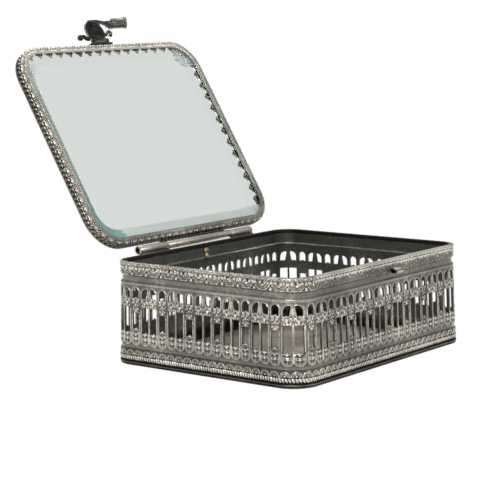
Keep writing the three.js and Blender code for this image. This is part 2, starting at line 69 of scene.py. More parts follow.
foot_low, foot_high = corners("base_molding")
band_low, band_high = corners("gallery_band")
HEIGHT = corners("top_rim")[1][2]
catch_low, catch_high = corners("catch_block")

WIDTH = foot_high[0] - foot_low[0]
DEPTH = foot_high[1] - foot_low[1]
MOLDING_TOP = foot_high[2]
BAND_BOTTOM = band_low[2]
BAND_TOP = band_high[2]
CORNER_RADIUS = 11.1
GALLERY_INSET = 0.6
RIM_INSET = 1
SHEET = 0.8

# The wall's profile: levels and their insets from the foot's outline.
WALL_LEVELS = [BAND_BOTTOM, 9, 33.4, 34.4, 35.1, 37, 37.6, BAND_TOP]
WALL_INSETS = [0.9, 0.6, 1.3, 1.3, 1.9, 1.9, 1.3, 1.3]

# The pattern of the gallery, drawn on a unit of this length that starts in the middle of a bar.
UNIT = 14.2
SHORT = 0.233 * UNIT
TALL = 0.245 * UNIT
PAIR_BAR = 0.062 * UNIT
BAR = (UNIT - SHORT - 2 * TALL - PAIR_BAR) / 2
UNIT_START = -(SHORT + BAR) / 2
PAIR_ASIDE = (TALL + PAIR_BAR) / 2
SLOT_CENTRES = [0, UNIT / 2 - PAIR_ASIDE, UNIT / 2 + PAIR_ASIDE]
# Drawn distances between which a unit stretches evenly: its ends and the edges of its widest bars
UNIT_MARKS = [UNIT_START, -SHORT / 2, UNIT - SHORT / 2 - BAR, UNIT_START + UNIT]
# How many units have which pitch, from the front's left end to the back's right end. The rest of the
# way round repeats this.
GALLERY_RUNS = [(7, 13.1), (2, 13.9), (5, 14.4), (1, 16)]
GALLERY_UNITS = 2 * sum(count for count, _ in GALLERY_RUNS)
FIRST_SLOT_X = -50.8
UNIT_COLUMNS = 40
FINE_STEP = 0.36
PATTERN_TOP = 33.4
SLOT_BOTTOM = 13.6
SLOT_TOP = 24.8
SHORT_SLOT_BOTTOM = 15.3
SHORT_SLOT_TOP = 22.5
ARCH_BOTTOM = 28
ARCH_TOP = 32.4
SCALLOP_BOTTOM = 8.9
SCALLOP_RADIUS = 2.1
SCALLOP_TOP = 14.5
FLOWERS_BOTTOM = 22
FLOWERS_TOP = 28.4
ROSETTE_LEVEL = 25.5
CLUSTER_LEVEL = 26
SEAM_GAP = 0.3

# The band over the gallery: a row of beads, a cove, and swags that hang from their own level
BEAD_LEVEL = 34.1
COVE_TOP = 37.4
SWAG_LEVEL = 41.6
SWAG_COUNT = 52

# The foot's ornament: a reeded roll with a row of small arches over it
REEDS_BOTTOM = 2.1
REEDS_TOP = 4.3
REEDS_MIDDLE = 3.2
REEDS_PER_ARCH = 3.5
FOOT_ARCHES = 99
FOOT_ARCH_LEVEL = 4.6

# Lid, in its closed place
joints = {joint["name"]: joint for joint in frame["joints"]}
HINGE = np.array(joints["lid_hinge"]["pos_m"]) / MM
LID_OPEN_ANGLE = math.radians(121.4)
LID_WIDTH = 116.4
LID_DEPTH = 97.1
LID_CENTRE_Y = -0.2
LID_CORNER_RADIUS = 14.5
LID_BOTTOM = HEIGHT + 0.4
LID_TOP = LID_BOTTOM + 4.8
BEZEL_THICKNESS = 0.6
FIT_GAP = 0.3
TOOTH_PITCH = 6.1
# Teeth between these x are darkened as painted shadow of the clasp.
CLASP_SHADOW_TEETH = (-21, -9)
LID_BEADS = 88
PANE_INSET = 1.7
BEVEL_WIDTH = 6.3
BEVEL_CORNER = 9.5
BEVEL_ROWS = 8
KNUCKLE_RADIUS = 1.8
KNUCKLE_BORE = 1.1
LEAF_BOTTOM = 37.8

# Clasp, from its pivot on the lid's front rim
CLASP_X = -1.2
PIVOT_Y = LID_CENTRE_Y - LID_DEPTH / 2 - 2.2
PIVOT_Z = LID_BOTTOM + 1
CLASP_KNUCKLE_RADIUS = 1.1
CLASP_BORE = 0.65
CLASP_KNUCKLE_LENGTH = 7
DISC_RADIUS = 5.6
DISC_X = -0.8
DISC_CENTRE = 4.5
DISC_DEPTH = 1.7


def about_hinge(angle):
    """Turns about the lid's hinge, in millimetres."""
    hinge = Vector(HINGE)
    turn = Matrix.Rotation(angle, 4, "X")
    return Matrix.Translation(hinge) @ turn @ Matrix.Translation(-hinge)


LID_PLACE = about_hinge(-LID_OPEN_ANGLE)
CLASP_PLACE = LID_PLACE @ Matrix.Translation((CLASP_X, PIVOT_Y, PIVOT_Z))
HERE = Matrix.Identity(4)

# ---- camera, light and floor ----

VIEW_YAW = math.radians(-50.9)
VIEW_PITCH = math.radians(7.92)
VIEW_ROLL = math.radians(-1.21)
VIEW_DISTANCE = 716.8
VIEW_AIM_RIGHT = -21.97
VIEW_AIM_UP = 47.17
LENS = 126.03
SENSOR = 36

# Lights: name, place, size and power, in metres and watts. The room's levels go from below to above.
SOFTBOXES = [
    ("key", (-0.75, -0.3, 0.8), 0.35, 9),
    ("fill", (0.35, -0.95, 0.5), 0.5, 3),
    ("top", (0.15, 0.35, 1.1), 0.6, 8),
]
LIGHT_TARGET = (0, 0, 0.06)
ROOM_LEVELS = [(0.0, 0.75), (0.47, 0.5), (0.56, 0.72), (0.8, 1.0)]
ROOM_STRENGTH = 0.85
FLOOR_REACH = 6


def add_camera():
    """The camera, turned, raised and tilted a little, and moved aside and up from the box's origin."""
    back = Vector((
        math.sin(VIEW_YAW) * math.cos(VIEW_PITCH),
        -math.cos(VIEW_YAW) * math.cos(VIEW_PITCH),
        math.sin(VIEW_PITCH),
    ))
    level_right = Vector((0, 0, 1)).cross(back).normalized()
    level_up = back.cross(level_right)
    right = math.cos(VIEW_ROLL) * level_right + math.sin(VIEW_ROLL) * level_up
    up = math.cos(VIEW_ROLL) * level_up - math.sin(VIEW_ROLL) * level_right
    place = back * VIEW_DISTANCE + right * VIEW_AIM_RIGHT + up * VIEW_AIM_UP
    data = bpy.data.cameras.new("camera")
    data.lens = LENS
    data.sensor_width = SENSOR
    data.clip_start = 0.01
    data.clip_end = 20
    camera = bpy.data.objects.new("camera", data)
    camera.matrix_world = Matrix((
        (right.x, up.x, back.x, place.x * MM),
        (right.y, up.y, back.y, place.y * MM),
        (right.z, up.z, back.z, place.z * MM),
        (0, 0, 0, 1),
    ))
    bpy.context.scene.collection.objects.link(camera)
    bpy.context.scene.camera = camera


def add_softbox(name, place, target, size, power):
    """A square area light that faces its target."""
    data = bpy.data.lights.new(name, "AREA")
    data.shape = "SQUARE"
    data.size = size
    data.energy = power
    light = bpy.data.objects.new(name, data)
    light.location = place
    aim = Vector(target) - Vector(place)
    light.rotation_euler = aim.to_track_quat("-Z", "Y").to_euler()
    bpy.context.scene.collection.objects.link(light)


def set_stops(ramp, stops):
    """Gives a colour ramp its (position, colour) stops."""
    elements = ramp.elements
    while len(elements) < len(stops):
        elements.new(0.5)
    for element, (position, colour) in zip(elements, stops):
        element.position = position
        element.color = (*colour, 1)


def shown_white(tree, ordinary, white):
    """Mixes two shaders: white is what shows to the eye, directly or through glass, and ordinary is
    what lights the box and is mirrored in it."""
    path = tree.nodes.new("ShaderNodeLightPath")
    looked_at = tree.nodes.new("ShaderNodeMath")
    looked_at.operation = "MAXIMUM"
    tree.links.new(path.outputs["Is Camera Ray"], looked_at.inputs[0])
    tree.links.new(path.outputs["Is Transmission Ray"], looked_at.inputs[1])
    choice = tree.nodes.new("ShaderNodeMixShader")
    tree.links.new(looked_at.outputs["Value"], choice.inputs["Fac"])
    tree.links.new(ordinary, choice.inputs[1])
    tree.links.new(white, choice.inputs[2])
    return choice.outputs["Shader"]


def studio_world():
    """A white studio whose unseen walls and ceiling go from grey at the horizon to white above."""
    world = bpy.data.worlds.new("studio")
    world.use_nodes = True
    tree = world.node_tree
    white = tree.nodes["Background"]
    white.inputs["Color"].default_value = (1, 1, 1, 1)
    white.inputs["Strength"].default_value = 1.0
    room = tree.nodes.new("ShaderNodeBackground")
    room.inputs["Strength"].default_value = ROOM_STRENGTH
    gradient = tree.nodes.new("ShaderNodeValToRGB")
    set_stops(gradient.color_ramp, [(position, (level,) * 3) for position, level in ROOM_LEVELS])
    direction = tree.nodes.new("ShaderNodeSeparateXYZ")
    height = tree.nodes.new("ShaderNodeMapRange")
    height.inputs["From Min"].default_value = -1
    tree.links.new(tree.nodes.new("ShaderNodeTexCoord").outputs["Generated"], direction.inputs[0])
    tree.links.new(direction.outputs["Z"], height.inputs["Value"])
    tree.links.new(height.outputs["Result"], gradient.inputs["Fac"])
    tree.links.new(gradient.outputs["Color"], room.inputs["Color"])
    shader = shown_white(tree, room.outputs["Background"], white.outputs["Background"])
    tree.links.new(shader, tree.nodes["World Output"].inputs["Surface"])
    return world


def pale_floor():
    """White paper that shows as white as the studio round it."""
    material = bpy.data.materials.new("pale_floor")
    material.use_nodes = True
    tree = material.node_tree
    paper = tree.nodes["Principled BSDF"]
    paper.inputs["Base Color"].default_value = (0.9, 0.9, 0.89, 1)
    paper.inputs["Roughness"].default_value = 0.8
    white = tree.nodes.new("ShaderNodeEmission")
    white.inputs["Color"].default_value = (1, 1, 1, 1)
    white.inputs["Strength"].default_value = 1.0
    shader = shown_white(tree, paper.outputs["BSDF"], white.outputs["Emission"])
    tree.links.new(shader, tree.nodes["Material Output"].inputs["Surface"])
    return material


def add_studio():
    """The room, the lights and the white floor."""
    scene = bpy.context.scene
    scene.view_settings.view_transform = "Standard"
    scene.world = studio_world()
    for name, place, size, power in SOFTBOXES:
        add_softbox(name, place, LIGHT_TARGET, size, power)
    mesh = bpy.data.meshes.new("floor")
    square = [(-1, -1), (1, -1), (1, 1), (-1, 1)]
    mesh.from_pydata([(x * FLOOR_REACH, y * FLOOR_REACH, 0) for x, y in square], [], [(0, 1, 2, 3)])
    mesh.materials.append(pale_floor())
    floor = bpy.data.objects.new("floor", mesh)
    scene.collection.objects.link(floor)


# ---- materials ----

class Graph:
    """A material's node tree, with short ways to add and link nodes."""

    def __init__(self, name):
        self.material = bpy.data.materials.new(name)
        self.material.use_nodes = True
        self.nodes = self.material.node_tree.nodes
        self.links = self.material.node_tree.links
        self.shader = self.nodes["Principled BSDF"]
        self.place = self.nodes.new("ShaderNodeTexCoord").outputs["Object"]

    def link(self, source, target):
        self.links.new(source, target)

    def surface(self, **values):
        """Sets the shader's inputs; an underline stands for a blank, and a colour has three numbers."""
        for name, value in values.items():
            colour = isinstance(value, tuple)
            self.shader.inputs[name.replace("_", " ")].default_value = (*value, 1) if colour else value

    def noise(self, scale, detail=3, roughness=0.55, stretch=None):
        """Noise with features of about 1 / scale metres, between 0 and 1."""
        node = self.nodes.new("ShaderNodeTexNoise")
        node.inputs["Scale"].default_value = scale
        node.inputs["Detail"].default_value = detail
        node.inputs["Roughness"].default_value = roughness
        place = self.place
        if stretch is not None:
            mapping = self.nodes.new("ShaderNodeMapping")
            mapping.inputs["Scale"].default_value = stretch
            self.link(place, mapping.inputs["Vector"])
            place = mapping.outputs["Vector"]
        self.link(place, node.inputs["Vector"])
        return node.outputs["Fac"]

    def shine(self):
        """The vertex attribute that tells hollows from ridges; some pieces also carry painted light and shade
        in it, and the glass the amount of its painted green edge.
        """
        node = self.nodes.new("ShaderNodeAttribute")
        node.attribute_name = "shine"
        return node.outputs["Fac"]

    def ramp(self, source, stops):
        """A colour ramp through (position, colour) stops."""
        node = self.nodes.new("ShaderNodeValToRGB")
        set_stops(node.color_ramp, stops)
        self.link(source, node.inputs["Fac"])
        return node.outputs["Color"]

    def sum(self, a, b):
        node = self.nodes.new("ShaderNodeMath")
        node.operation = "ADD"
        self.link(a, node.inputs[0])
        self.link(b, node.inputs[1])
        return node.outputs["Value"]

    def scaled(self, source, low, high):
        """Source, from 0 to 1, carried to the range low to high."""
        node = self.nodes.new("ShaderNodeMapRange")
        node.inputs["To Min"].default_value = low
        node.inputs["To Max"].default_value = high
        self.link(source, node.inputs["Value"])
        return node.outputs["Result"]

    def filtered(self, colour, film):
        """A colour seen through a film."""
        node = self.nodes.new("ShaderNodeMix")
        node.data_type = "RGBA"
        node.blend_type = "MULTIPLY"
        node.inputs["Factor"].default_value = 1
        self.link(colour, node.inputs["A"])
        self.link(film, node.inputs["B"])
        return node.outputs["Result"]

    def bump(self, source, strength, distance):
        node = self.nodes.new("ShaderNodeBump")
        node.inputs["Strength"].default_value = strength
        node.inputs["Distance"].default_value = distance
        self.link(source, node.inputs["Height"])
        self.link(node.outputs["Normal"], self.shader.inputs["Normal"])


def worn_silver(name, dark, middle, light, roughness, warm=0.5, grain=1.0):
    """Silver plate: tarnish in the hollows, bright on what hands and polish reach, with a patchy film.

    Its shine is 0 in the deepest hollows, 0.5 on plain metal and 1 on the ridges. Some pieces raise or lower
    it further as painted light and shade.
    """
    g = Graph(name)
    patches = g.noise(55, detail=5)
    speckle = g.noise(700, detail=4, roughness=0.7)
    brushed = g.noise(300, detail=3, stretch=(1, 1, 9))
    worn = g.sum(g.shine(), g.scaled(patches, -0.34 * grain, 0.34 * grain))
    worn = g.sum(worn, g.scaled(speckle, -0.24 * grain, 0.24 * grain))
    colour = g.ramp(worn, [(0.08, dark), (0.52, middle), (1.0, light)])
    yellowed = (1 - 0.1 * warm, 0.95 - 0.1 * warm, 0.88 - 0.12 * warm)
    film = g.ramp(patches, [(0.35, (1, 0.985, 0.96)), (0.7, yellowed)])
    g.link(g.filtered(colour, film), g.shader.inputs["Base Color"])
    g.surface(Metallic=0.95)
    matt = g.sum(g.scaled(worn, roughness + 0.16, roughness - 0.05), g.scaled(brushed, -0.06, 0.06))
    g.link(matt, g.shader.inputs["Roughness"])
    texture = g.sum(g.scaled(speckle, 0, 0.6), g.scaled(brushed, 0, 0.4))
    g.bump(texture, 0.35 * grain, 0.00025)
    return g.material


def stained_floor():
    """Dull sheet metal with grey-brown stains."""
    g = Graph("floor_metal")
    patches = g.noise(38, detail=6, roughness=0.6)
    speckle = g.noise(420, detail=4, roughness=0.7)
    shade = g.sum(patches, g.scaled(speckle, -0.16, 0.16))
    colour = g.ramp(shade, [(0.3, (0.09, 0.08, 0.06)), (0.5, (0.2, 0.18, 0.135)), (0.72, (0.33, 0.31, 0.25))])
    g.link(colour, g.shader.inputs["Base Color"])
    g.surface(Metallic=0.75)
    g.link(g.scaled(shade, 0.62, 0.42), g.shader.inputs["Roughness"])
    g.bump(speckle, 0.3, 0.0002)
    return g.material


def soft_solder():
    """Solder in small lumps, yellow from old flux."""
    g = Graph("solder")
    lumps = g.noise(600, detail=4)
    colour = g.ramp(lumps, [(0.3, (0.2, 0.13, 0.06)), (0.55, (0.48, 0.36, 0.2)), (0.8, (0.75, 0.68, 0.5))])
    g.link(colour, g.shader.inputs["Base Color"])
    g.surface(Metallic=0.9)
    g.link(g.scaled(lumps, 0.55, 0.3), g.shader.inputs["Roughness"])
    g.bump(lumps, 0.5, 0.0003)
    return g.material


def polished_glass(name, body):
    """Clear glass with faint rub marks and the grey-green of its body."""
    g = Graph(name)
    smears = g.noise(45, detail=4)
    g.surface(Base_Color=body, Transmission_Weight=1, IOR=1.5)
    g.link(g.scaled(smears, 0.0, 0.03), g.shader.inputs["Roughness"])
    return g.material


def lit_bevel():
    """Bevel that shows the light caught inside the pane: pale, and green where it has come furthest."""
    g = Graph("lit_bevel")
    pale = (0.77, 0.81, 0.79)
    between = (0.42, 0.62, 0.57)
    green = (0.2, 0.46, 0.39)
    colour = g.ramp(g.shine(), [(0.0, pale), (0.5, between), (1.0, green)])
    g.link(colour, g.shader.inputs["Base Color"])
    g.surface(Transmission_Weight=0.15, Roughness=0.45)
    return g.material


def ground_glass_edge():
    """The ground edge of the pane, green from the depth of glass it is seen through."""
    g = Graph("ground_glass")
    grain = g.noise(900, detail=3)
    colour = g.ramp(grain, [(0.3, (0.2, 0.46, 0.38)), (0.7, (0.3, 0.58, 0.5))])
    g.link(colour, g.shader.inputs["Base Color"])
    g.surface(Roughness=0.6)
    g.bump(grain, 0.2, 0.0001)
    return g.material


MATERIALS = {
    "aged_silver": worn_silver(
        "aged_silver", (0.012, 0.012, 0.01), (0.145, 0.142, 0.127), (0.56, 0.545, 0.5), 0.34),
    "polished_silver": worn_silver(
        "polished_silver", (0.02, 0.019, 0.016), (0.2, 0.195, 0.175), (0.62, 0.605, 0.55), 0.28),
    "dark_silver": worn_silver(
        "dark_silver", (0.005, 0.005, 0.005), (0.028, 0.03, 0.03), (0.24, 0.24, 0.23), 0.27, 0.2, 0.4),
    "inner_silver": worn_silver(
        "inner_silver", (0.02, 0.022, 0.02), (0.1, 0.106, 0.096), (0.42, 0.42, 0.38), 0.44),
    "floor_metal": stained_floor(),
    "solder": soft_solder(),
    "bevelled_glass": polished_glass("bevelled_glass", (0.67, 0.705, 0.685)),
    "bevel_glass": polished_glass("bevel_glass", (0.62, 0.655, 0.635)),
    "lit_bevel": lit_bevel(),
    "ground_glass": ground_glass_edge(),
}

# ---- mesh helpers ----

SHARP = math.radians(38)
TINY = 1e-6


def add_piece(name, shape, slot, body, node, place=HERE, shine=None, materials=None, parts=None):
    """Makes a visible piece from a shape's points, in millimetres, and its faces, in place of a CAD node.

    The slot's own material is used unless others are listed; parts then picks one for each face.
    """
    points, faces = shape
    mesh = bpy.data.meshes.new(name)
    points = np.asarray(points, float)
    turned = points @ np.array(place.to_3x3()).T + np.array(place.translation)
    mesh.from_pydata((turned * MM).tolist(), [], [tuple(map(int, face)) for face in faces])
    mesh.validate()
    if shine is not None:
        values = np.clip(np.broadcast_to(shine, len(points)), 0, 1).astype(np.float32)
        mesh.attributes.new("shine", "FLOAT", "POINT").data.foreach_set("value", values)
    mesh.shade_smooth()
    mesh.set_sharp_from_angle(angle=SHARP)
    for material in materials or [slot]:
        mesh.materials.append(MATERIALS[material])
    if parts is not None:
        mesh.polygons.foreach_set("material_index", np.asarray(parts, np.int32))
    piece = bpy.data.objects.new(name, mesh)
    bpy.context.scene.collection.objects.link(piece)
    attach(piece, body)
    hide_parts(node)


def merged(meshes):
    """Joins (points, faces) pairs into one pair."""
    points = []
    faces = []
    count = 0
    for some_points, some_faces in meshes:
        points.append(np.asarray(some_points, float))
        faces.extend([tuple(i + count for i in face) for face in some_faces])
        count += len(some_points)
    return np.concatenate(points), faces


def grid_faces(rows, columns, wrap_rows=False, wrap_columns=False):
    """Quads of a grid whose rows follow each other, facing right-handed from columns to rows."""
    i = np.arange(rows if wrap_rows else rows - 1)
    j = np.arange(columns if wrap_columns else columns - 1)
    i, j = np.meshgrid(i, j, indexing="ij")
    i = i.ravel()
    j = j.ravel()
    next_i = (i + 1) % rows
    next_j = (j + 1) % columns
    row = i * columns
    next_row = next_i * columns
    return np.stack([row + j, row + next_j, next_row + next_j, next_row + j], axis=1)


def skinned(rings, first_tip, last_tip):
    """Closes a stack of rings, anticlockwise as seen from beyond the last one, with a point at either
    end. The rings' points come first, then the two tips."""
    rings = np.asarray(rings, float)
    rows, around = rings.shape[:2]
    faces = [tuple(face) for face in grid_faces(rows, around, wrap_columns=True)]
    first = rows * around
    last_row = first - around
    for j in range(around):
        following = (j + 1) % around
        faces.append((first, following, j))
        faces.append((first + 1, last_row + j, last_row + following))
    return np.concatenate([rings.reshape(-1, 3), [first_tip, last_tip]]), faces


def circle(count):
    """Angles of points evenly spaced round a circle."""
    return 2 * math.pi * np.arange(count) / count


def bump(distance, width):
    """A smooth ridge, 1 high, that falls away over about its width on either side."""
    return np.exp(-((distance / width) ** 2))


def dome(x, z, radius):
    """A half ball, 1 high."""
    return np.sqrt(np.clip(1 - (x * x + z * z) / radius**2, 0, 1))


def wrapped(value, pitch):
    """Value from -pitch / 2 to pitch / 2."""
    return np.mod(value + pitch / 2, pitch) - pitch / 2


def smooth(value, low, high):
    """Goes softly from 0 at low to 1 at high."""
    t = np.clip((value - low) / (high - low), 0, 1)
    return t * t * (3 - 2 * t)


def lump(x, z, radius, height=0.34):
    """A rounded drop of metal with a narrow hollow round it."""
    return height * dome(x, z, radius) - 0.08 * bump(np.hypot(x, z) - 1.08 * radius, 0.2 * radius)


def uneven(s, z, seed):
    """Smooth hand-made irregularity, between about -1 and 1."""
    first = np.sin(0.9 * s + 1.7 * z + seed) * np.sin(0.37 * s - 0.8 * z + 2 * seed)
    second = np.sin(2.3 * s - 2.9 * z + 3 * seed) * np.sin(1.31 * s + 1.1 * z)
    return 0.6 * first + 0.4 * second


class Ring:
    """A rounded rectangle, with places given by the distance along it, anticlockwise from the left
    end of the front's straight, and by the inset from its outline."""

    def __init__(self, width, depth, radius, centre_y=0, measured_at=0):
        self.radius = radius
        self.centre_y = centre_y
        self.turn_radius = radius - measured_at
        self.along = width - 2 * radius
        self.across = depth - 2 * radius
        self.arc = math.pi / 2 * self.turn_radius
        self.length = 2 * (self.along + self.across) + 4 * self.arc
        self.back_middle = 1.5 * self.along + self.across + 2 * self.arc

    def at(self, distance, inset):
        distance = np.mod(distance, self.length)
        x = np.zeros(np.broadcast(distance, inset).shape)
        y = np.zeros_like(x)
        start = 0
        half_x = self.along / 2
        half_y = self.across / 2
        sides = [
            (self.along, half_x, -half_y, -math.pi / 2),
            (self.across, half_x, half_y, 0),
            (self.along, -half_x, half_y, math.pi / 2),
            (self.across, -half_x, -half_y, math.pi),
        ]
        for straight, centre_x, centre_y, facing in sides:
            here = (distance >= start) & (distance < start + straight + self.arc)
            before = np.clip(start + straight - distance, 0, None)
            angle = facing + np.clip(distance - start - straight, 0, None) / self.turn_radius
            reach = self.radius - inset
            x = np.where(here, centre_x + reach * np.cos(angle) + before * math.sin(facing), x)
            y = np.where(here, centre_y + reach * np.sin(angle) - before * math.cos(facing), y)
            start += straight + self.arc
        return x, y + self.centre_y

    def points(self, distance, inset, z):
        x, y = self.at(distance, inset)
        return np.stack([x, y, np.broadcast_to(z, x.shape)], axis=-1)


def refined(profile):
    """Points of a profile of (inset, z, step) corners, divided so that none is further apart than the
    step of the corner it leaves."""
    points = []
    for index, (inset, z, step) in enumerate(profile):
        next_inset, next_z, _ = profile[(index + 1) % len(profile)]
        count = max(1, math.ceil(math.hypot(next_inset - inset, next_z - z) / step - 1e-6))
        for k in range(count):
            points.append((inset + (next_inset - inset) * k / count, z + (next_z - z) * k / count))
    return np.array(points)


def relief_ring(ring, profile, height, tone=None, columns=1200):
    """Sweeps a closed profile round a ring, raises it by height(s, z, inset), in millimetres, and
    adds tone(s, z, inset) to the shine that the height gives. Returns points, faces and shine."""
    rows = refined(profile)
    ahead = np.roll(rows, -1, axis=0) - np.roll(rows, 1, axis=0)
    ahead /= np.linalg.norm(ahead, axis=1)[:, None]
    s = np.arange(columns) * ring.length / columns
    grid_s = np.broadcast_to(s, (len(rows), columns))
    inset = np.broadcast_to(rows[:, :1], grid_s.shape)
    z = np.broadcast_to(rows[:, 1:], grid_s.shape)
    raised = height(grid_s, z, inset)
    points = ring.points(grid_s, inset - ahead[:, 1:] * raised, z + ahead[:, :1] * raised)
    faces = grid_faces(len(rows), columns, wrap_rows=True, wrap_columns=True)
    shine = 0.5 + 2 * raised
    if tone is not None:
        shine = shine + tone(grid_s, z, inset)
    return points.reshape(-1, 3), faces, shine.ravel()


# ---- the pierced wall ----

def polygon_distance(points, polygon):
    """Distance of points from a polygon, negative inside it."""
    a = np.array(polygon, float)
    edge = np.roll(a, -1, axis=0) - a
    away = points[:, None] - a
    share = np.clip((away * edge).sum(-1) / (edge**2).sum(-1), 0, 1)
    distance = np.linalg.norm(away - share[..., None] * edge, axis=-1).min(1)
    level = points[:, None, 1]
    crosses = (a[:, 1] > level) != (a[:, 1] + edge[:, 1] > level)
    slope = edge[:, 0] / np.where(edge[:, 1] == 0, 1e-9, edge[:, 1])
    left_of = points[:, None, 0] < a[:, 0] + (level - a[:, 1]) * slope
    inside = (crosses & left_of).sum(1) % 2 == 1
    return np.where(inside, -distance, distance)


def leafy_bottom(half, level, tip):
    """The lower edge of an opening, from left to right, with a leaf's tip standing in the middle."""
    shares = [(-1, 0), (-0.3, 0.15), (0, tip), (0.3, 0.15), (1, 0)]
    return [(half * share, level + rise) for share, rise in shares]


def lobed_top(half, level, drop):
    """The upper edge of an opening, from right to left, under three hanging lobes."""
    shares = [1, 0.66, 0.34, 0, -0.34, -0.66, -1]
    return [(half * share, level - drop * (index % 2)) for index, share in enumerate(shares)]


def slot_outline(half, bottom, top):
    """A slot with leafy ends, half its width to either side of the middle."""
    return leafy_bottom(half, bottom, 0.75) + lobed_top(half, top, 0.45)


def round_arch_outline(half):
    """The arched opening over a short slot."""
    spring = ARCH_TOP - half
    turns = np.linspace(0, math.pi, 11)
    arc = [(half * math.cos(turn), spring + half * math.sin(turn)) for turn in turns]
    return leafy_bottom(half, ARCH_BOTTOM + 0.1, 0.6) + arc


def half_arch_outline(direction):
    """The opening beside the split leaf over a pair of slots; it leans towards the pair's middle."""
    outline = [
        (-0.8, 28.5), (-0.3, 28), (0.4, 28.35), (0.9, 28), (1.6, 28.2), (1.68, 30.2), (1.45, 31),
        (0.95, 31.7), (0.2, 32.15), (-0.7, 32.35), (-1.35, 32.25), (-1.28, 31.3), (-1.02, 29.8),
    ]
    if direction > 0:
        return outline
    return [(-x, z) for x, z in reversed(outline)]


def openings():
    """Outlines of all the openings of one unit of the gallery, in drawn distances."""
    short, left, right = SLOT_CENTRES
    drawn = [
        (short, slot_outline(SHORT / 2, SHORT_SLOT_BOTTOM, SHORT_SLOT_TOP)),
        (short, round_arch_outline(SHORT / 2)),
        (left, slot_outline(TALL / 2, SLOT_BOTTOM, SLOT_TOP)),
        (right, slot_outline(TALL / 2, SLOT_BOTTOM, SLOT_TOP)),
        (left, half_arch_outline(-1)),
        (right, half_arch_outline(1)),
    ]
    return [[(centre + x, z) for x, z in outline] for centre, outline in drawn]


def resampled(outline):
    """Points along a closed outline; long straight edges take fewer."""
    long_edge = 3
    long_step = 1.1
    points = []
    for (x0, z0), (x1, z1) in zip(outline, outline[1:] + outline[:1]):
        length = math.hypot(x1 - x0, z1 - z0)
        count = max(1, round(length / (long_step if length > long_edge else FINE_STEP)))
        points += [(x0 + (x1 - x0) * k / count, z0 + (z1 - z0) * k / count) for k in range(count)]
    return np.array(points)


def outward(loop):
    """Directions that leave an anticlockwise loop of points."""
    ahead = np.roll(loop, -1, axis=0) - np.roll(loop, 1, axis=0)
    ahead /= np.linalg.norm(ahead, axis=1)[:, None]
    return np.stack([ahead[:, 1], -ahead[:, 0]], axis=1)


def triangulated(points, loops, distance):
    """Triangles over points in a plane, outside the openings whose boundary points loops lists."""
    edges = [(a, b) for loop in loops for a, b in zip(loop, loop[1:] + loop[:1])]
    out, _, triangles, origins, _, _ = delaunay_2d_cdt([Vector(p) for p in points], edges, [], 0, 1e-7)
    at = {}
    for index, sources in enumerate(origins):
        for source in sources:
            at[source] = index
    out = np.array([tuple(p) for p in out])
    triangles = np.array(triangles)
    a, b, c = (out[triangles[:, k]] for k in range(3))
    turn = (b[:, 0] - a[:, 0]) * (c[:, 1] - a[:, 1]) - (b[:, 1] - a[:, 1]) * (c[:, 0] - a[:, 0])
    triangles[turn < 0] = triangles[turn < 0][:, ::-1]
    keep = (distance((a + b + c) / 3) > 0) & (np.abs(turn) > 1e-7)
    return out, triangles[keep], [[at[i] for i in loop] for loop in loops]


def slot_scallop(x, z):
    """The U under each slot: two lines, and a curled leaf with a bud inside."""
    above = z - SCALLOP_BOTTOM
    reach = np.where(above < SCALLOP_RADIUS, np.hypot(x, above - SCALLOP_RADIUS), np.abs(x))
    distance = reach - SCALLOP_RADIUS
    lines = 0.3 * bump(distance, 0.24) + 0.2 * bump(distance + 0.6, 0.18)
    stem = lump(x / 0.75, (above - 2.5) / 1.5, 0.7, 0.32)
    curls = 0.26 * bump(np.hypot(np.abs(x) - 0.85, above - 2.7) - 0.5, 0.19)
    drop = lump(x, above - 1.05, 0.42, 0.28)
    bud = lump(x + 0.12, above - 4.25, 0.72) + lump(np.abs(x + 0.1) - 0.98, above - 4.55, 0.42, 0.3)
    return lines + stem + curls + drop + bud


def rosette(x, z):
    """The flower over a short slot, with three lobes under it and two leaves over it."""
    above = z - ROSETTE_LEVEL
    radius = np.hypot(x, above)
    angle = np.arctan2(above, x)
    petals = 0.3 * bump(radius - 1.15, 0.45) * (0.45 + 0.55 * np.cos(5 * angle + 0.6))
    heart = 0.36 * dome(x, above, 0.55)
    lobes = lump(np.abs(x) - 1.1, above + 1.7, 0.66, 0.3) + lump(x, above + 2.3, 0.7)
    leaves = 0.28 * bump(np.hypot(np.abs(x) - 1.0, above - 1.7) - 0.45, 0.22)
    tips = lump(np.abs(x) - 1.9, above - 0.7, 0.5, 0.26)
    return petals + heart + lobes + leaves + tips


def leaf_cluster(x, z):
    """The scrolled leaves over a tall slot."""
    above = z - CLUSTER_LEVEL
    heart = lump(x + 0.1, (above - 0.2) / 1.25, 0.72, 0.34)
    scrolls = 0.28 * bump(np.hypot(np.abs(x) - 1.25, above - 0.9) - 0.5, 0.21)
    lower = lump(np.abs(x) - 1.2, above + 0.7, 0.5, 0.3) + lump(x - 0.15, above + 1.1, 0.42, 0.26)
    veins = 0.12 * bump(wrapped(x + 1.3 * above, 0.9), 0.2)
    return heart + scrolls + lower + veins


def rises_and_falls(z, low, high, soft):
    """1 between two levels, and softly 0 outside them."""
    return smooth(z, low, low + soft) * (1 - smooth(z, high - soft, high))


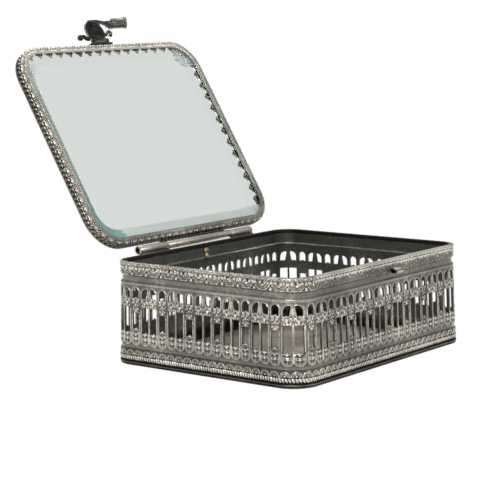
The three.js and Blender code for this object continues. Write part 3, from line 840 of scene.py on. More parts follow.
def pattern_height(x, z, distance):
    """Relief of one unit of the gallery, at these distances from its openings."""
    narrow = bump(wrapped(x - UNIT / 2, UNIT), 0.6) * rises_and_falls(z, 14, 25, 1)
    relief = (0.27 - 0.12 * narrow) * bump(distance - 0.26, 0.17) - 0.04
    leafy = smooth(z, 8.5, 9) * (1 - smooth(z, SLOT_BOTTOM, SLOT_BOTTOM + 1))
    leafy = leafy + rises_and_falls(z, FLOWERS_BOTTOM, 28.8, 0.8)
    relief = relief + 0.05 * leafy * (uneven(2.4 * x, 2.4 * z, 0.7) - 1)
    relief = relief + 0.14 * smooth(z, 28.6, 29.4) * bump(distance - 0.86, 0.16)
    for index, centre in enumerate(SLOT_CENTRES):
        flower = rosette if index == 0 else leaf_cluster
        for shift in (-UNIT, 0, UNIT):
            across = x - centre - shift
            near = np.abs(across) < 2.6
            over = (z > FLOWERS_BOTTOM) & (z < FLOWERS_TOP)
            relief = relief + np.where(near & (z < SCALLOP_TOP), slot_scallop(across, z), 0)
            relief = relief + np.where(near & over, flower(across, z), 0)
    split_leaf = smooth(z, 27.6, 28.4) * (1 - smooth(z, 31.2, 31.8)) * bump(np.abs(x - UNIT / 2) - 0.28, 0.2)
    relief = relief + 0.2 * split_leaf
    return np.clip(relief, -0.2, 0.38) * smooth(z, BAND_BOTTOM + 0.6, BAND_BOTTOM + 1.2)


def worn_front(s, ring):
    """1 along the front, where hands have worn the relief away, and 0 elsewhere."""
    s = np.mod(s, ring.length)
    return smooth(s, -2, 4) * (1 - smooth(s, ring.along - 2, ring.along + 6))


def swags(s, z, ring):
    """Relief of the band under the lip: swags of three lines with hearts, and leaves between them."""
    pitch = ring.length / SWAG_COUNT
    below = SWAG_LEVEL - z
    x = wrapped(s, pitch) + 0.25 * uneven(s, z, 0.3)
    radius = np.hypot(x, below)
    arcs = sum(high * bump(radius - line, 0.24) for line, high in ((3.85, 0.38), (3.0, 0.3), (2.2, 0.22)))
    hearts = lump(x, below - 1.9, 0.7, 0.4) + lump(np.abs(x) - 1.15, below - 1.3, 0.5)
    leaf_x = wrapped(s + pitch / 2, pitch) + 0.2 * uneven(s, z, 1.9)
    leaves = lump(leaf_x, below - 3.2, 0.75, 0.4) + lump(np.abs(leaf_x) - 0.95, below - 2.2, 0.62)
    leaves = leaves + lump(leaf_x, below - 1.4, 0.55)
    top_x = wrapped(s + 0.35 * np.sin(0.81 * s), 1.9)
    top_below = below - 0.85 + 0.18 * np.sin(1.3 * s)
    lumps = lump(top_x, top_below, 0.72, 0.38) * (1 - smooth(below, 1.4, 1.8))
    ground = 0.05 * uneven(2.2 * s, 2.2 * z, 4.4) - 0.13
    return np.where(radius > 4.1, leaves, arcs + hearts) + lumps + ground


def border_height(s, z, column, ring):
    """Relief over the gallery: a row of tiny beads on every other column, a plain cove and the swags."""
    beads = 0.2 * bump(z - BEAD_LEVEL, 0.28) * (0.5 + 0.5 * np.cos(math.pi * column))
    lines = 0.1 * bump(z - BEAD_LEVEL + 0.5, 0.14) + 0.2 * bump(z - COVE_TOP - 0.3, 0.16)
    worn = worn_front(s, ring)
    lower_edge = 40.45 + 0.25 * np.sin(1.9 * s) * np.sin(0.7 * s + 1)
    flat = worn * smooth(z, lower_edge, lower_edge + 0.5)
    relief = swags(s, z, ring) * (1 - 0.55 * worn)
    return beads + lines + smooth(z, COVE_TOP, COVE_TOP + 0.4) * (relief * (1 - flat) + 0.22 * flat)


def wall_inset(z):
    """Inset of the wall's outer face at a level."""
    return np.interp(z, WALL_LEVELS, WALL_INSETS)


def pattern_unit():
    """One unit of the gallery: the relief side's points and triangles, the plain side's, and the
    boundary loops of the openings in each."""
    outlines = openings()

    def distance(points):
        return np.min([polygon_distance(points, outline) for outline in outlines], axis=0)

    end = UNIT_START + UNIT
    across = np.linspace(UNIT_START, end, UNIT_COLUMNS + 1)
    levels = np.concatenate([
        np.arange(BAND_BOTTOM, 8.6, 0.7), np.arange(8.7, 14.2, FINE_STEP), np.arange(14.6, 22, 1.3),
        np.arange(22.3, 33.2, FINE_STEP), [PATTERN_TOP],
    ])
    border = [(x, z) for z in (BAND_BOTTOM, PATTERN_TOP) for x in across]
    loops = []
    rim_points = []
    count = len(border)
    for outline in outlines:
        loop = resampled(outline)
        loops.append(list(range(count, count + len(loop))))
        rim_points.append(loop)
        count += len(loop)
    rims = np.concatenate(rim_points)
    directions = np.concatenate([outward(loop) for loop in rim_points])
    sides = [(x, z) for z in levels[1:-1] for x in (UNIT_START, end)]

    ridges = []
    for offset in (0.22, 0.46):
        beside = rims + directions * offset
        inside = (beside[:, 0] > UNIT_START + 0.12) & (beside[:, 0] < end - 0.12)
        ridges.append(beside[inside & (distance(beside) > 0.86 * offset)])
    lattice = []
    for row, z in enumerate(levels[1:-1]):
        start = UNIT_START + FINE_STEP * (0.6 if row % 2 else 1.0)
        lattice += [(x, z) for x in np.arange(start, end - FINE_STEP / 2, FINE_STEP)]
    lattice = np.array(lattice)
    lattice = lattice[distance(lattice) > 0.6]
    front = np.concatenate([border, rims, sides, *ridges, lattice])
    out, triangles, front_loops = triangulated(front, loops, distance)

    coarse_levels = (8.8, 14.4, 19, 24, 27.5, 31)
    coarse = np.array([(x, z) for z in coarse_levels for x in np.arange(UNIT_START + 1, end, 1.7)])
    coarse = coarse[distance(coarse) > 0.4]
    coarse_sides = [(x, z) for z in coarse_levels for x in (UNIT_START, end)]
    back = np.concatenate([border, rims, coarse_sides, coarse])
    back_out, back_triangles, back_loops = triangulated(back, loops, distance)
    return (out, triangles, front_loops, distance(out)), (back_out, back_triangles, back_loops)


def unit_places(length):
    """Borders and centres of the short slots of all units, as distances along the wall."""
    runs = GALLERY_RUNS + GALLERY_RUNS
    pitches = np.array([pitch for count, pitch in runs for _ in range(count)])
    pitches *= length / pitches.sum()
    centre = FIRST_SLOT_X + WIDTH / 2 - CORNER_RADIUS + np.concatenate([[0], np.cumsum(pitches)[:-1]])
    before = (pitches + np.roll(pitches, 1)) / 2
    border = centre + UNIT_START * before / UNIT
    return border, centre, pitches


def unit_stations(ring):
    """Where each unit's marks fall along the wall, from the seam in the back round to the seam again."""
    border, centre, pitches = unit_places(ring.length)
    first = int(np.argmin(np.abs(border - ring.back_middle)))
    lap = np.where(np.arange(len(border)) < first, ring.length, 0)
    scale = pitches / UNIT
    border, centre, scale = (np.roll(values, -first) for values in (border + lap, centre + lap, scale))
    ends = np.append(border[1:], border[0] + ring.length)
    stations = np.column_stack([border, centre + UNIT_MARKS[1] * scale, centre + UNIT_MARKS[2] * scale, ends])
    stations[0, 0] += SEAM_GAP / 2
    stations[-1, -1] -= SEAM_GAP / 2
    return stations


class WallMesh:
    """The wall's outer and inner sheets, gathered stretch by stretch and then welded together."""

    def __init__(self, ring):
        self.ring = ring
        self.stretches = []
        self.faces = []
        self.parts = []
        self.count = 0

    def add(self, s, z, depth, height, side, faces):
        """Adds a stretch of the outer side, 0, or the inner one, 1, and returns its first point."""
        first = self.count
        x, y = self.ring.at(s, depth)
        self.stretches.append(np.stack([x, y, z, s, height, np.full(len(s), side)], axis=1))
        self.count += len(s)
        self.faces += (faces + first).tolist()
        self.parts += [side] * len(faces)
        return first

    def close(self, face):
        """Adds a face of the sheet's edge."""
        self.faces.append(face)
        self.parts.append(0)

    def weld(self, start, finish):
        """Joins equal points, except across the seam, and returns the rows that are left."""
        rows = np.concatenate(self.stretches)
        s = rows[:, 3]
        seam_side = np.where(np.abs(s - start) < TINY, 1, np.where(np.abs(s - finish) < TINY, 2, 0))
        keys = np.column_stack([np.round(rows[:, [0, 1, 2, 5]], 4), seam_side])
        _, keep, target = np.unique(keys, axis=0, return_index=True, return_inverse=True)
        target = target.ravel()
        self.faces = [tuple(target[list(face)]) for face in self.faces]
        return rows[keep]


def add_units(wall, stations):
    """Adds the gallery, unit by unit, and returns the columns at its upper edge."""
    (outer, triangles, loops, distance), (inner, inner_triangles, inner_loops) = pattern_unit()
    relief = pattern_height(outer[:, 0], outer[:, 1], distance)
    drawn_columns = np.linspace(UNIT_START, UNIT_START + UNIT, UNIT_COLUMNS + 1)[:-1]
    columns = []
    for places in stations:
        s = np.interp(outer[:, 0], UNIT_MARKS, places)
        struck = relief * (1 + 0.3 * uneven(0.6 * s, outer[:, 1], 2.6))
        at = wall.add(s, outer[:, 1], wall_inset(outer[:, 1]) - relief, struck, 0, triangles)
        s = np.interp(inner[:, 0], UNIT_MARKS, places)
        depth = wall_inset(inner[:, 1]) + SHEET
        inner_at = wall.add(s, inner[:, 1], depth, np.zeros(len(inner)), 1, inner_triangles[:, ::-1])
        for loop, inner_loop in zip(loops, inner_loops):
            for k in range(len(loop)):
                outside = (at + loop[k], at + loop[k - 1])
                wall.close(outside + (inner_at + inner_loop[k - 1], inner_at + inner_loop[k]))
        columns.append(np.interp(drawn_columns, UNIT_MARKS, places))
    return np.append(np.concatenate(columns), stations[-1, -1])


def add_border(wall, columns):
    """Adds the relief band over the gallery and the plain sheet behind it, joined along the top."""
    levels = np.concatenate([
        [PATTERN_TOP, 33.6, 33.85, 34.1, 34.35, 34.65, 35.1, 36, 36.9, 37.4],
        np.arange(37.65, 41.1, 0.33),
        [BAND_TOP],
    ])
    s, z = np.meshgrid(columns, levels)
    column = np.broadcast_to(np.arange(len(columns)), s.shape)
    height = border_height(s, z, column, wall.ring) * smooth(z, PATTERN_TOP, 33.6)
    faces = grid_faces(len(levels), len(columns))
    at = wall.add(s.ravel(), z.ravel(), (wall_inset(z) - height).ravel(), height.ravel(), 0, faces)
    inner_levels = [PATTERN_TOP, 35.6, BAND_TOP]
    s, z = np.meshgrid(columns, inner_levels)
    depth = np.interp(z, inner_levels, [wall_inset(PATTERN_TOP) + SHEET, 2.7, 2.7])
    faces = grid_faces(len(inner_levels), len(columns))[:, ::-1]
    inner_at = wall.add(s.ravel(), z.ravel(), depth.ravel(), np.zeros(s.size), 1, faces)
    top = at + (len(levels) - 1) * len(columns)
    inner_top = inner_at + (len(inner_levels) - 1) * len(columns)
    for j in range(len(columns) - 1):
        wall.close((top + j, top + j + 1, inner_top + j + 1, inner_top + j))


def add_wall():
    """The pierced and embossed wall, bent round the box with a butt seam in the back."""
    ring = Ring(WIDTH, DEPTH, CORNER_RADIUS, measured_at=GALLERY_INSET)
    stations = unit_stations(ring)
    start = stations[0, 0]
    finish = stations[-1, -1]
    wall = WallMesh(ring)
    add_border(wall, add_units(wall, stations))
    rows = wall.weld(start, finish)
    z, s, height, side = rows[:, 2:].T

    def picked(chosen, on_side, order):
        found = np.nonzero(chosen & (side == on_side))[0]
        return found[np.argsort(order[found])]

    low = np.abs(z - BAND_BOTTOM) < TINY
    outer = picked(low, 0, s)
    inner = picked(low, 1, s)
    for a, b, c, d in zip(outer, outer[1:], inner, inner[1:]):
        wall.close((b, a, c, d))
    for place, sense in ((start, 1), (finish, -1)):
        at_end = np.abs(s - place) < TINY
        outline = np.concatenate([picked(at_end, 0, z), picked(at_end, 1, -z)])
        wall.close(tuple(outline[::sense]))
    # Painted shade: the outer face is made a little darker along the front, and tarnish here is only that
    # shade.
    tarnish = 0.07 * worn_front(s, ring)
    shine = np.where(side == 0, 0.5 - tarnish + 2.0 * height, 0.5)
    add_piece("gallery_wall", (rows[:, :3], wall.faces), "aged_silver", "box", "gallery_band",
              shine=shine, materials=["aged_silver", "inner_silver"], parts=wall.parts)


# ---- foot, rim and what is inside the box ----

def gallery_phase(s, length):
    """Counts the gallery's units along the foot, so that the arches there stretch as the units do."""
    border, _, _ = unit_places(length)
    ends = np.append(border, border[0] + length)
    s = border[0] + np.mod(s - border[0], length)
    return np.interp(s, ends, np.arange(len(ends)))


def add_foot():
    """The foot: mouldings, a reeded roll and a row of small arches."""
    ring = Ring(WIDTH, DEPTH, CORNER_RADIUS)
    arches = FOOT_ARCHES / GALLERY_UNITS
    reeds = REEDS_PER_ARCH * arches
    arch_pitch = ring.length / FOOT_ARCHES
    reed_pitch = arch_pitch / REEDS_PER_ARCH

    def reed_groove(s, z):
        slant = 0.3 * (z - REEDS_MIDDLE - 0.1)
        across = wrapped(gallery_phase(s, ring.length) * reeds + slant, 1) * reed_pitch
        return bump(np.abs(across) - reed_pitch / 2, 0.26)

    def height(s, z, inset):
        outside = inset < 1.2
        rounded = 0.55 * dome(z - REEDS_MIDDLE, 0 * z, 1.05)
        grooves = 0.34 * reed_groove(s, z) * smooth(rounded, 0, 0.2)
        reeded = np.where((z > REEDS_BOTTOM) & (z < REEDS_TOP), rounded - grooves, 0)
        x = wrapped(gallery_phase(s, ring.length) * arches, 1) * arch_pitch
        above = z - FOOT_ARCH_LEVEL
        radius = np.where(above > 0, np.hypot(x, above), np.abs(x))
        lines = 0.34 * bump(radius - 1.85, 0.25) + 0.28 * bump(radius - 1.15, 0.2)
        arch = lines + 0.36 * dome(x, above - 0.15, 0.5) - 0.18
        scallops = np.where((above >= -0.5) & (above < 2.3), arch, 0)
        mouldings = 0.12 * bump(z - 1.25, 0.22) - 0.34 * bump(z - 1.85, 0.24) - 0.1 * bump(z - 0.8, 0.2)
        return np.where(outside, reeded + scallops + mouldings, 0)

    def tone(s, z, inset):
        # Painted light: the reeded roll is lighter on its upper half. Painted shade: the foot is darker along
        # its bottom edge by the floor. A thin dark line runs under the arches.
        on_reeds = (z > REEDS_BOTTOM) & (z < REEDS_TOP - 0.05)
        patchy = 0.3 * uneven(0.35 * s, 0, 2.2) + 0.2 * uneven(2.1 * s, 1.5 * z, 0.4)
        reed_tone = -0.5 - 0.38 * reed_groove(s, z) + 0.35 * smooth(z, 2.7, 3.6) + patchy
        arch_tone = 0.12 * smooth(z, REEDS_TOP, REEDS_TOP + 0.5) * (1 - smooth(z, 6.7, 6.9))
        below = -0.3 * (1 - smooth(z, 1.5, 2.2)) - 0.25 * bump(z - 4.15, 0.2)
        return np.where(on_reeds, reed_tone, 0) + below + arch_tone

    profile = [
        (4, 0, 5), (0.6, 0, 0.3), (0.25, 0.15, 0.3), (0.12, 0.6, 0.25), (0.02, 1.6, 0.25), (0.45, 1.95, 0.25),
        (0.5, 2.2, 0.22), (0.5, 4.1, 0.2), (0.42, 4.3, 0.25), (0.35, 6.6, 0.25), (0.7, 6.9, 0.3),
        (1, MOLDING_TOP, 1.5), (2.4, MOLDING_TOP, 3.2), (2.4, 1, 2), (4, 1, 1),
    ]
    *shape, shine = relief_ring(ring, profile, height, tone, columns=2080)
    add_piece("foot_molding", shape, "aged_silver", "box", "base_molding", shine=shine)


def chased_curls(s, v, pitch, size):
    """Foliate strokes on a rolled edge: a curl and slanting leaves in each pitch. v runs across the
    roll from 0 to size."""
    x = wrapped(s, pitch)
    curl = bump(np.hypot(x + 0.22 * pitch, v - 0.52 * size) - 0.24 * size, 0.13 * size)
    bead = dome(x + 0.22 * pitch, v - 0.52 * size, 0.16 * size)
    slant = wrapped(s + 0.55 * v, pitch / 3)
    leaf = bump(slant, 0.1 * pitch) * smooth(np.abs(x + 0.22 * pitch), 0.2 * pitch, 0.3 * pitch)
    return 0.75 * curl + 0.8 * bead + 0.75 * leaf


def add_rim():
    """The wire lip with its chased curls, which are worn off along the front."""
    ring = Ring(WIDTH, DEPTH, CORNER_RADIUS)

    def height(s, z, inset):
        v = np.where(inset < 1.45, z - BAND_TOP, 1.6 + (inset - 1.45))
        front = worn_front(s, ring)
        strength = 0.3 * (1 - 0.88 * front)
        outside = (inset < 2.0) & (z > BAND_TOP + 0.1)
        curls = chased_curls(s + 0.3 * np.sin(0.6 * s), v, 3.3, 1.9) - 0.45
        dents = 0.2 * bump(np.hypot(wrapped(s, 3.7), z - BAND_TOP - 0.4), 0.3)
        dents = front * (0.05 * uneven(1.6 * s, 3 * z, 5.1) - dents)
        edge = 1 - smooth(inset, 1.7, 2.0)
        return np.where(outside, (strength * curls + dents + 0.06 * front) * edge, 0)

    def tone(s, z, inset):
        # Along the front the lip is lighter, partly from wear and partly as painted light, and a row of dark
        # dashes under the lip there is painted shadow. The inner edge is darkened as painted shade, and the
        # flat top is darker away from the front.
        front = worn_front(s, ring)
        flat_top = smooth(inset, 1.6, 2.2)
        lip_shadow_dashes = 0.5 + 0.5 * np.cos(3.3 * s + np.sin(0.9 * s))
        lip_shadow_dashes = bump(z - BAND_TOP - 0.35, 0.3) * (inset < 1.3) * lip_shadow_dashes
        worn = front * (0.16 - 0.75 * lip_shadow_dashes)
        return 0.1 - 0.5 * flat_top * (1 - 0.8 * front) + worn - 0.3 * bump(inset - 3.2, 0.15)

    profile = [
        (1.35, BAND_TOP, 0.3), (1.08, BAND_TOP + 0.3, 0.2), (1.02, BAND_TOP + 0.8, 0.2),
        (1.12, HEIGHT - 0.45, 0.2), (1.35, HEIGHT - 0.18, 0.2), (1.7, HEIGHT - 0.03, 0.25),
        (2.1, HEIGHT - 0.02, 0.5), (2.9, HEIGHT - 0.02, 0.3), (3.2, HEIGHT - 0.12, 0.3),
        (3.3, HEIGHT - 0.4, 0.8), (3.3, BAND_TOP, 2.5),
    ]
    *shape, shine = relief_ring(ring, profile, height, tone, columns=1240)
    add_piece("rim", shape, "polished_silver", "box", "top_rim", shine=shine)


def add_inner_strip():
    """The strip behind the lip, with solder run unevenly along its lower edge."""
    ring = Ring(WIDTH, DEPTH, CORNER_RADIUS)
    profile = [
        (3.45, 36.75, 0.3), (3.3, 36.3, 0.2), (3.0, 36.3, 0.2),
        (3.0, 41.2, 4.8), (3.5, 41.2, 0.5), (3.5, 37.2, 4.2),
    ]

    def height(s, z, inset):
        wander = 0.1 * np.sin(s / 3.1) + 0.1 * np.sin(s / 1.27 + 1.3) + 0.08 * np.sin(s / 0.61)
        return np.where(z < 36.8, 0.1 + 0.6 * wander, 0)

    points, faces, _ = relief_ring(ring, profile, height, columns=620)
    run = points[:, 2] < 37.1
    shine = np.where(run, 1.0, 0.42)
    parts = [int(run[list(face)].all()) for face in faces]
    add_piece("lip_strip", (points, faces), "polished_silver", "box", "inner_strip",
              shine=shine, materials=["inner_silver", "polished_silver"], parts=parts)


def add_floor_plate():
    """The plate in the foot, slightly buckled."""
    low, high = corners("floor_plate")
    ring = Ring(high[0] - low[0], high[1] - low[1], CORNER_RADIUS - 4.3)
    columns = 240
    s = np.arange(columns) * ring.length / columns
    shares = np.array([1, 0.985, 0.95, 0.88, 0.78, 0.66, 0.52, 0.36, 0.2, 0.06])[:, None]
    x, y = ring.at(s, 0.0)
    across = x * shares
    along = y * shares
    buckle = 0.12 * np.sin(across / 17 + 1) * np.sin(along / 13) + 0.05 * np.sin(across / 5 + along / 7)
    level = high[2] + (buckle - 0.14) * smooth(shares, 1, 0.95)
    top = np.stack([across, along, level], axis=-1)
    bottom = np.stack([x, y, np.full(columns, low[2])], axis=-1)
    shape = skinned([bottom, *top], (0, 0, low[2]), (0, 0, high[2] - 0.1))
    add_piece("floor_sheet", shape, "floor_metal", "box", "floor_plate")


def lumpy_blob(centre, size, seed, rings=12, around=18, lumps=0.2):
    """A drop of metal: an ellipsoid with soft lumps."""
    centre = np.asarray(centre, float)
    turn = circle(around)
    layers = []
    for polar in math.pi * np.arange(rings - 1, 0, -1) / rings:
        level = math.sin(polar)
        way = np.stack([level * np.cos(turn), level * np.sin(turn), np.full(around, math.cos(polar))], axis=1)
        swell = 1 + lumps * np.sin(3.1 * way[:, :1] + seed) * np.sin(4.3 * way[:, 2:] + 2 * seed)
        layers.append(centre + way * size * swell)
    up = np.array([0, 0, 1]) * size
    return skinned(layers, centre - up, centre + up)


def add_seam_solder():
    """Three drops of solder that have run into one down the wall's seam."""
    low, high = corners("seam_solder")
    middle = (low + high) / 2
    half = (high - low) / 2
    spine = lumpy_blob(middle + [0, 0.1, 0], half * [0.55, 0.9, 1.0], 0.4)
    drop = lumpy_blob(middle + [-0.3, -0.1, 0.45 * half[2]], half * [0.95, 1.2, 0.5], 1.7)
    run = lumpy_blob(middle + [0.25, 0, -0.5 * half[2]], half * [0.8, 1.0, 0.3], 2.6)
    add_piece("seam_drop", merged([spine, drop, run]), "solder", "box", "seam_solder")


def prism(outline, x0, x1, bevel=0.12, segments=2):
    """Extrudes an outline in (y, z) along X and rounds all its edges."""
    shape = bmesh.new()
    left = [shape.verts.new((x0, y, z)) for y, z in outline]
    right = [shape.verts.new((x1, y, z)) for y, z in outline]
    shape.faces.new(left[::-1])
    shape.faces.new(right)
    for k in range(len(outline)):
        following = (k + 1) % len(outline)
        shape.faces.new((left[k], left[following], right[following], right[k]))
    bmesh.ops.recalc_face_normals(shape, faces=shape.faces[:])
    sharp = [edge for edge in shape.edges if edge.calc_face_angle(0) > math.radians(25)]
    bmesh.ops.bevel(shape, geom=sharp, offset=bevel, segments=segments, profile=0.5,
                    affect="EDGES", clamp_overlap=True)
    shape.verts.index_update()
    points = np.array([tuple(vertex.co) for vertex in shape.verts])
    faces = [tuple(vertex.index for vertex in face.verts) for face in shape.faces]
    shape.free()
    return points, faces


def add_catch():
    """A bent strip: out from the wall, sloping down to the nose, and folded back under it, with a dark block
    in its hollow as painted shade, painted shade along the fold and a painted highlight on its top.
    """
    face = catch_high[1]
    nose = catch_low[1]
    bottom = catch_low[2]
    top = catch_high[2]
    half = 0.3
    stations = [
        (face + 0.05, top - half, 0), (face - 1.2, top - half - 0.2, 0), (nose + 1.2, top - half - 0.72, 0),
        (nose + half + 0.12, top - half - 0.95, 0), (nose + half + 0.02, top - 1.75, 0),
        (nose + half + 0.25, bottom + 0.7, 0), (nose + half + 0.6, bottom + half, 0),
    ]
    route = smooth_route(stations, 5)[:, :2]
    strip, strip_faces = prism(rolled_sheet(route, 2 * half), catch_low[0], catch_high[0], 0.09, 2)
    # The block below fills the hollow under the strip in dark metal as painted shade.
    hollow = [
        (face + 0.05, bottom + 0.25), (nose + 0.85, bottom + 0.3),
        (nose + 0.85, top - 1.9), (face + 0.05, top - 0.8),
    ]
    fill, shade_block_faces = prism(hollow, catch_low[0] + 0.35, catch_high[0] - 0.35, 0.05, 1)
    points, faces = merged([(strip, strip_faces), (fill, shade_block_faces)])
    # Painted shade along the fold and a painted highlight on the top of the strip.
    fold_shade = bump(points[:, 2] - top + 1.25, 0.16) * (points[:, 1] < nose + 0.5)
    shine = 0.72 + 0.28 * smooth(points[:, 2], top - 1.2, top - 0.9) - 0.7 * fold_shade
    shine[len(strip):] = 0
    parts = [0] * len(strip_faces) + [1] * len(shade_block_faces)
    add_piece("catch_nose", (points, faces), "polished_silver", "box", "catch_block",
              shine=shine, materials=["polished_silver", "dark_silver"], parts=parts)


# ---- hinge ----

def rolled_sheet(route, thickness):
    """Outline of a bent sheet from its middle line."""
    route = np.array(route)
    ahead = np.gradient(route, axis=0)
    ahead /= np.linalg.norm(ahead, axis=1)[:, None]
    aside = np.stack([-ahead[:, 1], ahead[:, 0]], axis=1) * thickness / 2
    return np.concatenate([route + aside, (route - aside)[::-1]]).tolist()


def knuckle_route(plate_y, plate_end, sense):
    """Middle line of a leaf: a plate, a bend and a roll round the pin. The roll leaves the plate under
    the pin where sense is 1, and over it where sense is -1."""
    thickness = KNUCKLE_RADIUS - KNUCKLE_BORE
    radius = KNUCKLE_BORE + thickness / 2
    y, z = HINGE[1], HINGE[2]
    entry = z - sense * radius
    bend = 0.8
    route = [(plate_y, plate_end), (plate_y, entry - sense * bend)]
    for angle in np.linspace(0, math.pi / 2, 5)[1:]:
        across = bend * (1 - math.cos(angle))
        route.append((plate_y + across, entry - sense * bend * (1 - math.sin(angle))))
    rolled = math.radians(322)
    for angle in np.linspace(0, rolled, 41) - math.pi / 2:
        route.append((y + radius * math.cos(angle), z + sense * radius * math.sin(angle)))
    return rolled_sheet(route, thickness)


def add_leaf(name, node, plate_y, plate_end, sense, place, body):
    """A leaf of the hinge with its rolled knuckle. plate_end is the level of the plate's free edge."""
    low, high = corners(node)
    points, faces = prism(knuckle_route(plate_y, plate_end, sense), low[0], high[0], 0.1, 2)
    away = np.hypot(points[:, 1] - HINGE[1], points[:, 2] - HINGE[2])
    on_roll = (away > KNUCKLE_RADIUS - 0.2) & (away < KNUCKLE_RADIUS + 0.1)
    shine = np.where(on_roll, 0.75, 0.15)
    add_piece(name, (points, faces), "polished_silver", body, node, place, shine)


def add_hinge():
    """Two leaves on the box, one on the lid between them, and the pin through all three."""
    half_sheet = 0.45
    solder = 0.2
    box_plate = DEPTH / 2 - RIM_INSET + solder + half_sheet
    for side in ("left", "right"):
        add_leaf(f"leaf_{side}", f"hinge_leaf_{side}", box_plate, LEAF_BOTTOM, 1, HERE, "box")
    lid_plate = LID_CENTRE_Y + LID_DEPTH / 2 + FIT_GAP + half_sheet
    add_leaf("leaf_middle", "hinge_leaf_middle", lid_plate, LID_TOP - 1.2, -1, LID_PLACE, "lid")
    low, high = corners("hinge_pin")
    radius = (high[2] - low[2]) / 2
    profile = [(0, 0), (0.6, 0), (0.9, 0.08), (1, 0.25)]
    ends = [(share * radius, rise) for share, rise in profile]
    length = high[0] - low[0]
    outline = ends + [(share, length - rise) for share, rise in reversed(ends)]
    turn = Matrix.Translation((low[0], HINGE[1], HINGE[2])) @ Matrix.Rotation(math.pi / 2, 4, "Y")
    add_piece("pin", turned_shape(outline, 24), "dark_silver", "box", "hinge_pin", turn, 0.5)


def turned_shape(profile, around):
    """A lathe shape about +Z from (radius, z) points that start and end on the axis."""
    turn = circle(around)
    rings = []
    for radius, z in profile[1:-1]:
        rings.append(np.stack([radius * np.cos(turn), radius * np.sin(turn), np.full(around, z)], axis=1))
    return skinned(rings, (0, 0, profile[0][1]), (0, 0, profile[-1][1]))


# ---- lid ----

def add_lid_frame():
    """The lid's ring: leaves up its side, beads and strokes on its roll, and the flange."""
    ring = Ring(LID_WIDTH, LID_DEPTH, LID_CORNER_RADIUS, LID_CENTRE_Y)
    wall_top = LID_TOP - BEZEL_THICKNESS - FIT_GAP
    bead_pitch = ring.length / LID_BEADS

    def height(s, z, inset):
        v = z - LID_BOTTOM
        across = np.where(inset < 0.35, 1.6 - v, 1.6 + inset)
        x = wrapped(s, bead_pitch) + 0.15 * uneven(s, across, 1.1)
        leaves = bump(wrapped(s + 0.9 * np.abs(v - 3.1), bead_pitch / 2), 0.42)
        side_relief = 0.26 * leaves + 0.18 * bump(v - 1.7, 0.18) + 0.12 * bump(v - 3.8, 0.18) - 0.18
        side_relief = side_relief + 0.06 * uneven(2 * s, 2 * v, 3.3)
        curl = bump(np.hypot(x, across - 2.0) - 1.0, 0.26)
        bead = dome(x, across - 2.0, 0.62)
        stroke = bump(wrapped(s + 0.8 * across + bead_pitch / 2, bead_pitch / 3), 0.3)
        stroke = stroke * smooth(np.abs(x), 1.05, 1.35)
        roll = 0.26 * curl + 0.4 * bead + 0.3 * stroke - 0.17
        chase = wrapped(s + 0.55 * np.sin(2.4 * across) + 0.2 * np.sin(s), bead_pitch / 4)
        chased = 0.3 * bump(chase, 0.27) - 0.14 + 0.05 * uneven(3 * s, 3 * across, 0.4)
        roll = np.where(across > 3.25, chased, roll)
        side = (inset < 0.35) & (v > 1.45)
        side_relief = side_relief * smooth(wall_top - z, 0, 0.3)
        fade = 1 - smooth(inset, 2.55, 2.75)
        return np.where(side, side_relief, np.where(inset < 2.8, roll * fade, 0))

    def tone(s, z, inset):
        # Painted light and shade: the underside and the flange are lighter, most on the clasp side, and the
        # outer side and the hinge side are darker, with the relief's shine flattened on the hinge side.
        v = z - LID_BOTTOM
        under = smooth(1.2 - v, 0, 0.5)
        painted_side_shade = -0.05 * smooth(v, 1.4, 1.8)
        flange = 0.14 * smooth(inset, 1.7, 2.2)
        around = np.cos(2 * math.pi * (s - ring.back_middle) / ring.length)
        painted_hinge_side_shade = smooth(around, 0.35, 0.85) * (0.06 - 2.6 * height(s, z, inset) * (inset > 0.35))
        painted_clasp_side_light = 0.2 * smooth(-around, 0.35, 0.8)
        return painted_side_shade + (0.16 + painted_clasp_side_light) * under + flange * (1 - smooth(around, 0.3, 0.6)) - painted_hinge_side_shade

    profile = [
        (3.3, LID_BOTTOM + 0.1, 0.3), (3.1, LID_BOTTOM, 0.4), (2.75, LID_BOTTOM, 0.25),
        (1.6, LID_BOTTOM + 0.02, 0.25), (0.9, LID_BOTTOM + 0.08, 0.25),
        (0.45, LID_BOTTOM + 0.28, 0.22), (0.15, LID_BOTTOM + 0.6, 0.22),
        (0.02, LID_BOTTOM + 1, 0.25), (0, LID_BOTTOM + 1.4, 0.28), (0, wall_top, 1.3), (1.2, wall_top, 2),
        (1.2, LID_BOTTOM + 1, 2.2), (3.1, LID_BOTTOM + 1, 0.3), (3.3, LID_BOTTOM + 0.8, 0.9),
    ]
    *shape, shine = relief_ring(ring, profile, height, tone, columns=1190)
    add_piece("lid_rim", shape, "aged_silver", "lid", "lid_frame", LID_PLACE, shine)


def tooth_outline(start, end):
    """Crown-shaped teeth along one straight edge, with their tips to the left of the way."""
    along = end - start
    length = math.hypot(*along)
    count = max(1, round(length / TOOTH_PITCH))
    along = along / length
    inward = np.array([-along[1], along[0]])
    pitch = length / count
    half_shape = [
        (2.3, 0), (2.0, 0.6), (2.15, 1.25), (1.75, 1.7),
        (1.15, 1.75), (0.85, 2.2), (0.75, 2.7), (0.35, 3.0),
    ]
    shape = [(-x, depth) for x, depth in half_shape] + [(0, 3.05)] + half_shape[::-1]
    points = []
    for i in range(count):
        for x, depth in shape:
            points.append(start + along * ((i + 0.5) * pitch + x * pitch / TOOTH_PITCH) + inward * depth)
    return points


def rounded_points(width, depth, radius, steps):
    ring = Ring(width, depth, radius, LID_CENTRE_Y)
    points = []
    at = 0
    for straight in (ring.along, ring.across, ring.along, ring.across):
        at += straight
        points += [at + ring.arc * k / steps for k in range(steps + 1)]
        at += ring.arc
    x, y = ring.at(np.minimum(np.array(points), ring.length - 1e-9), 0.0)
    return np.stack([x, y], axis=1)


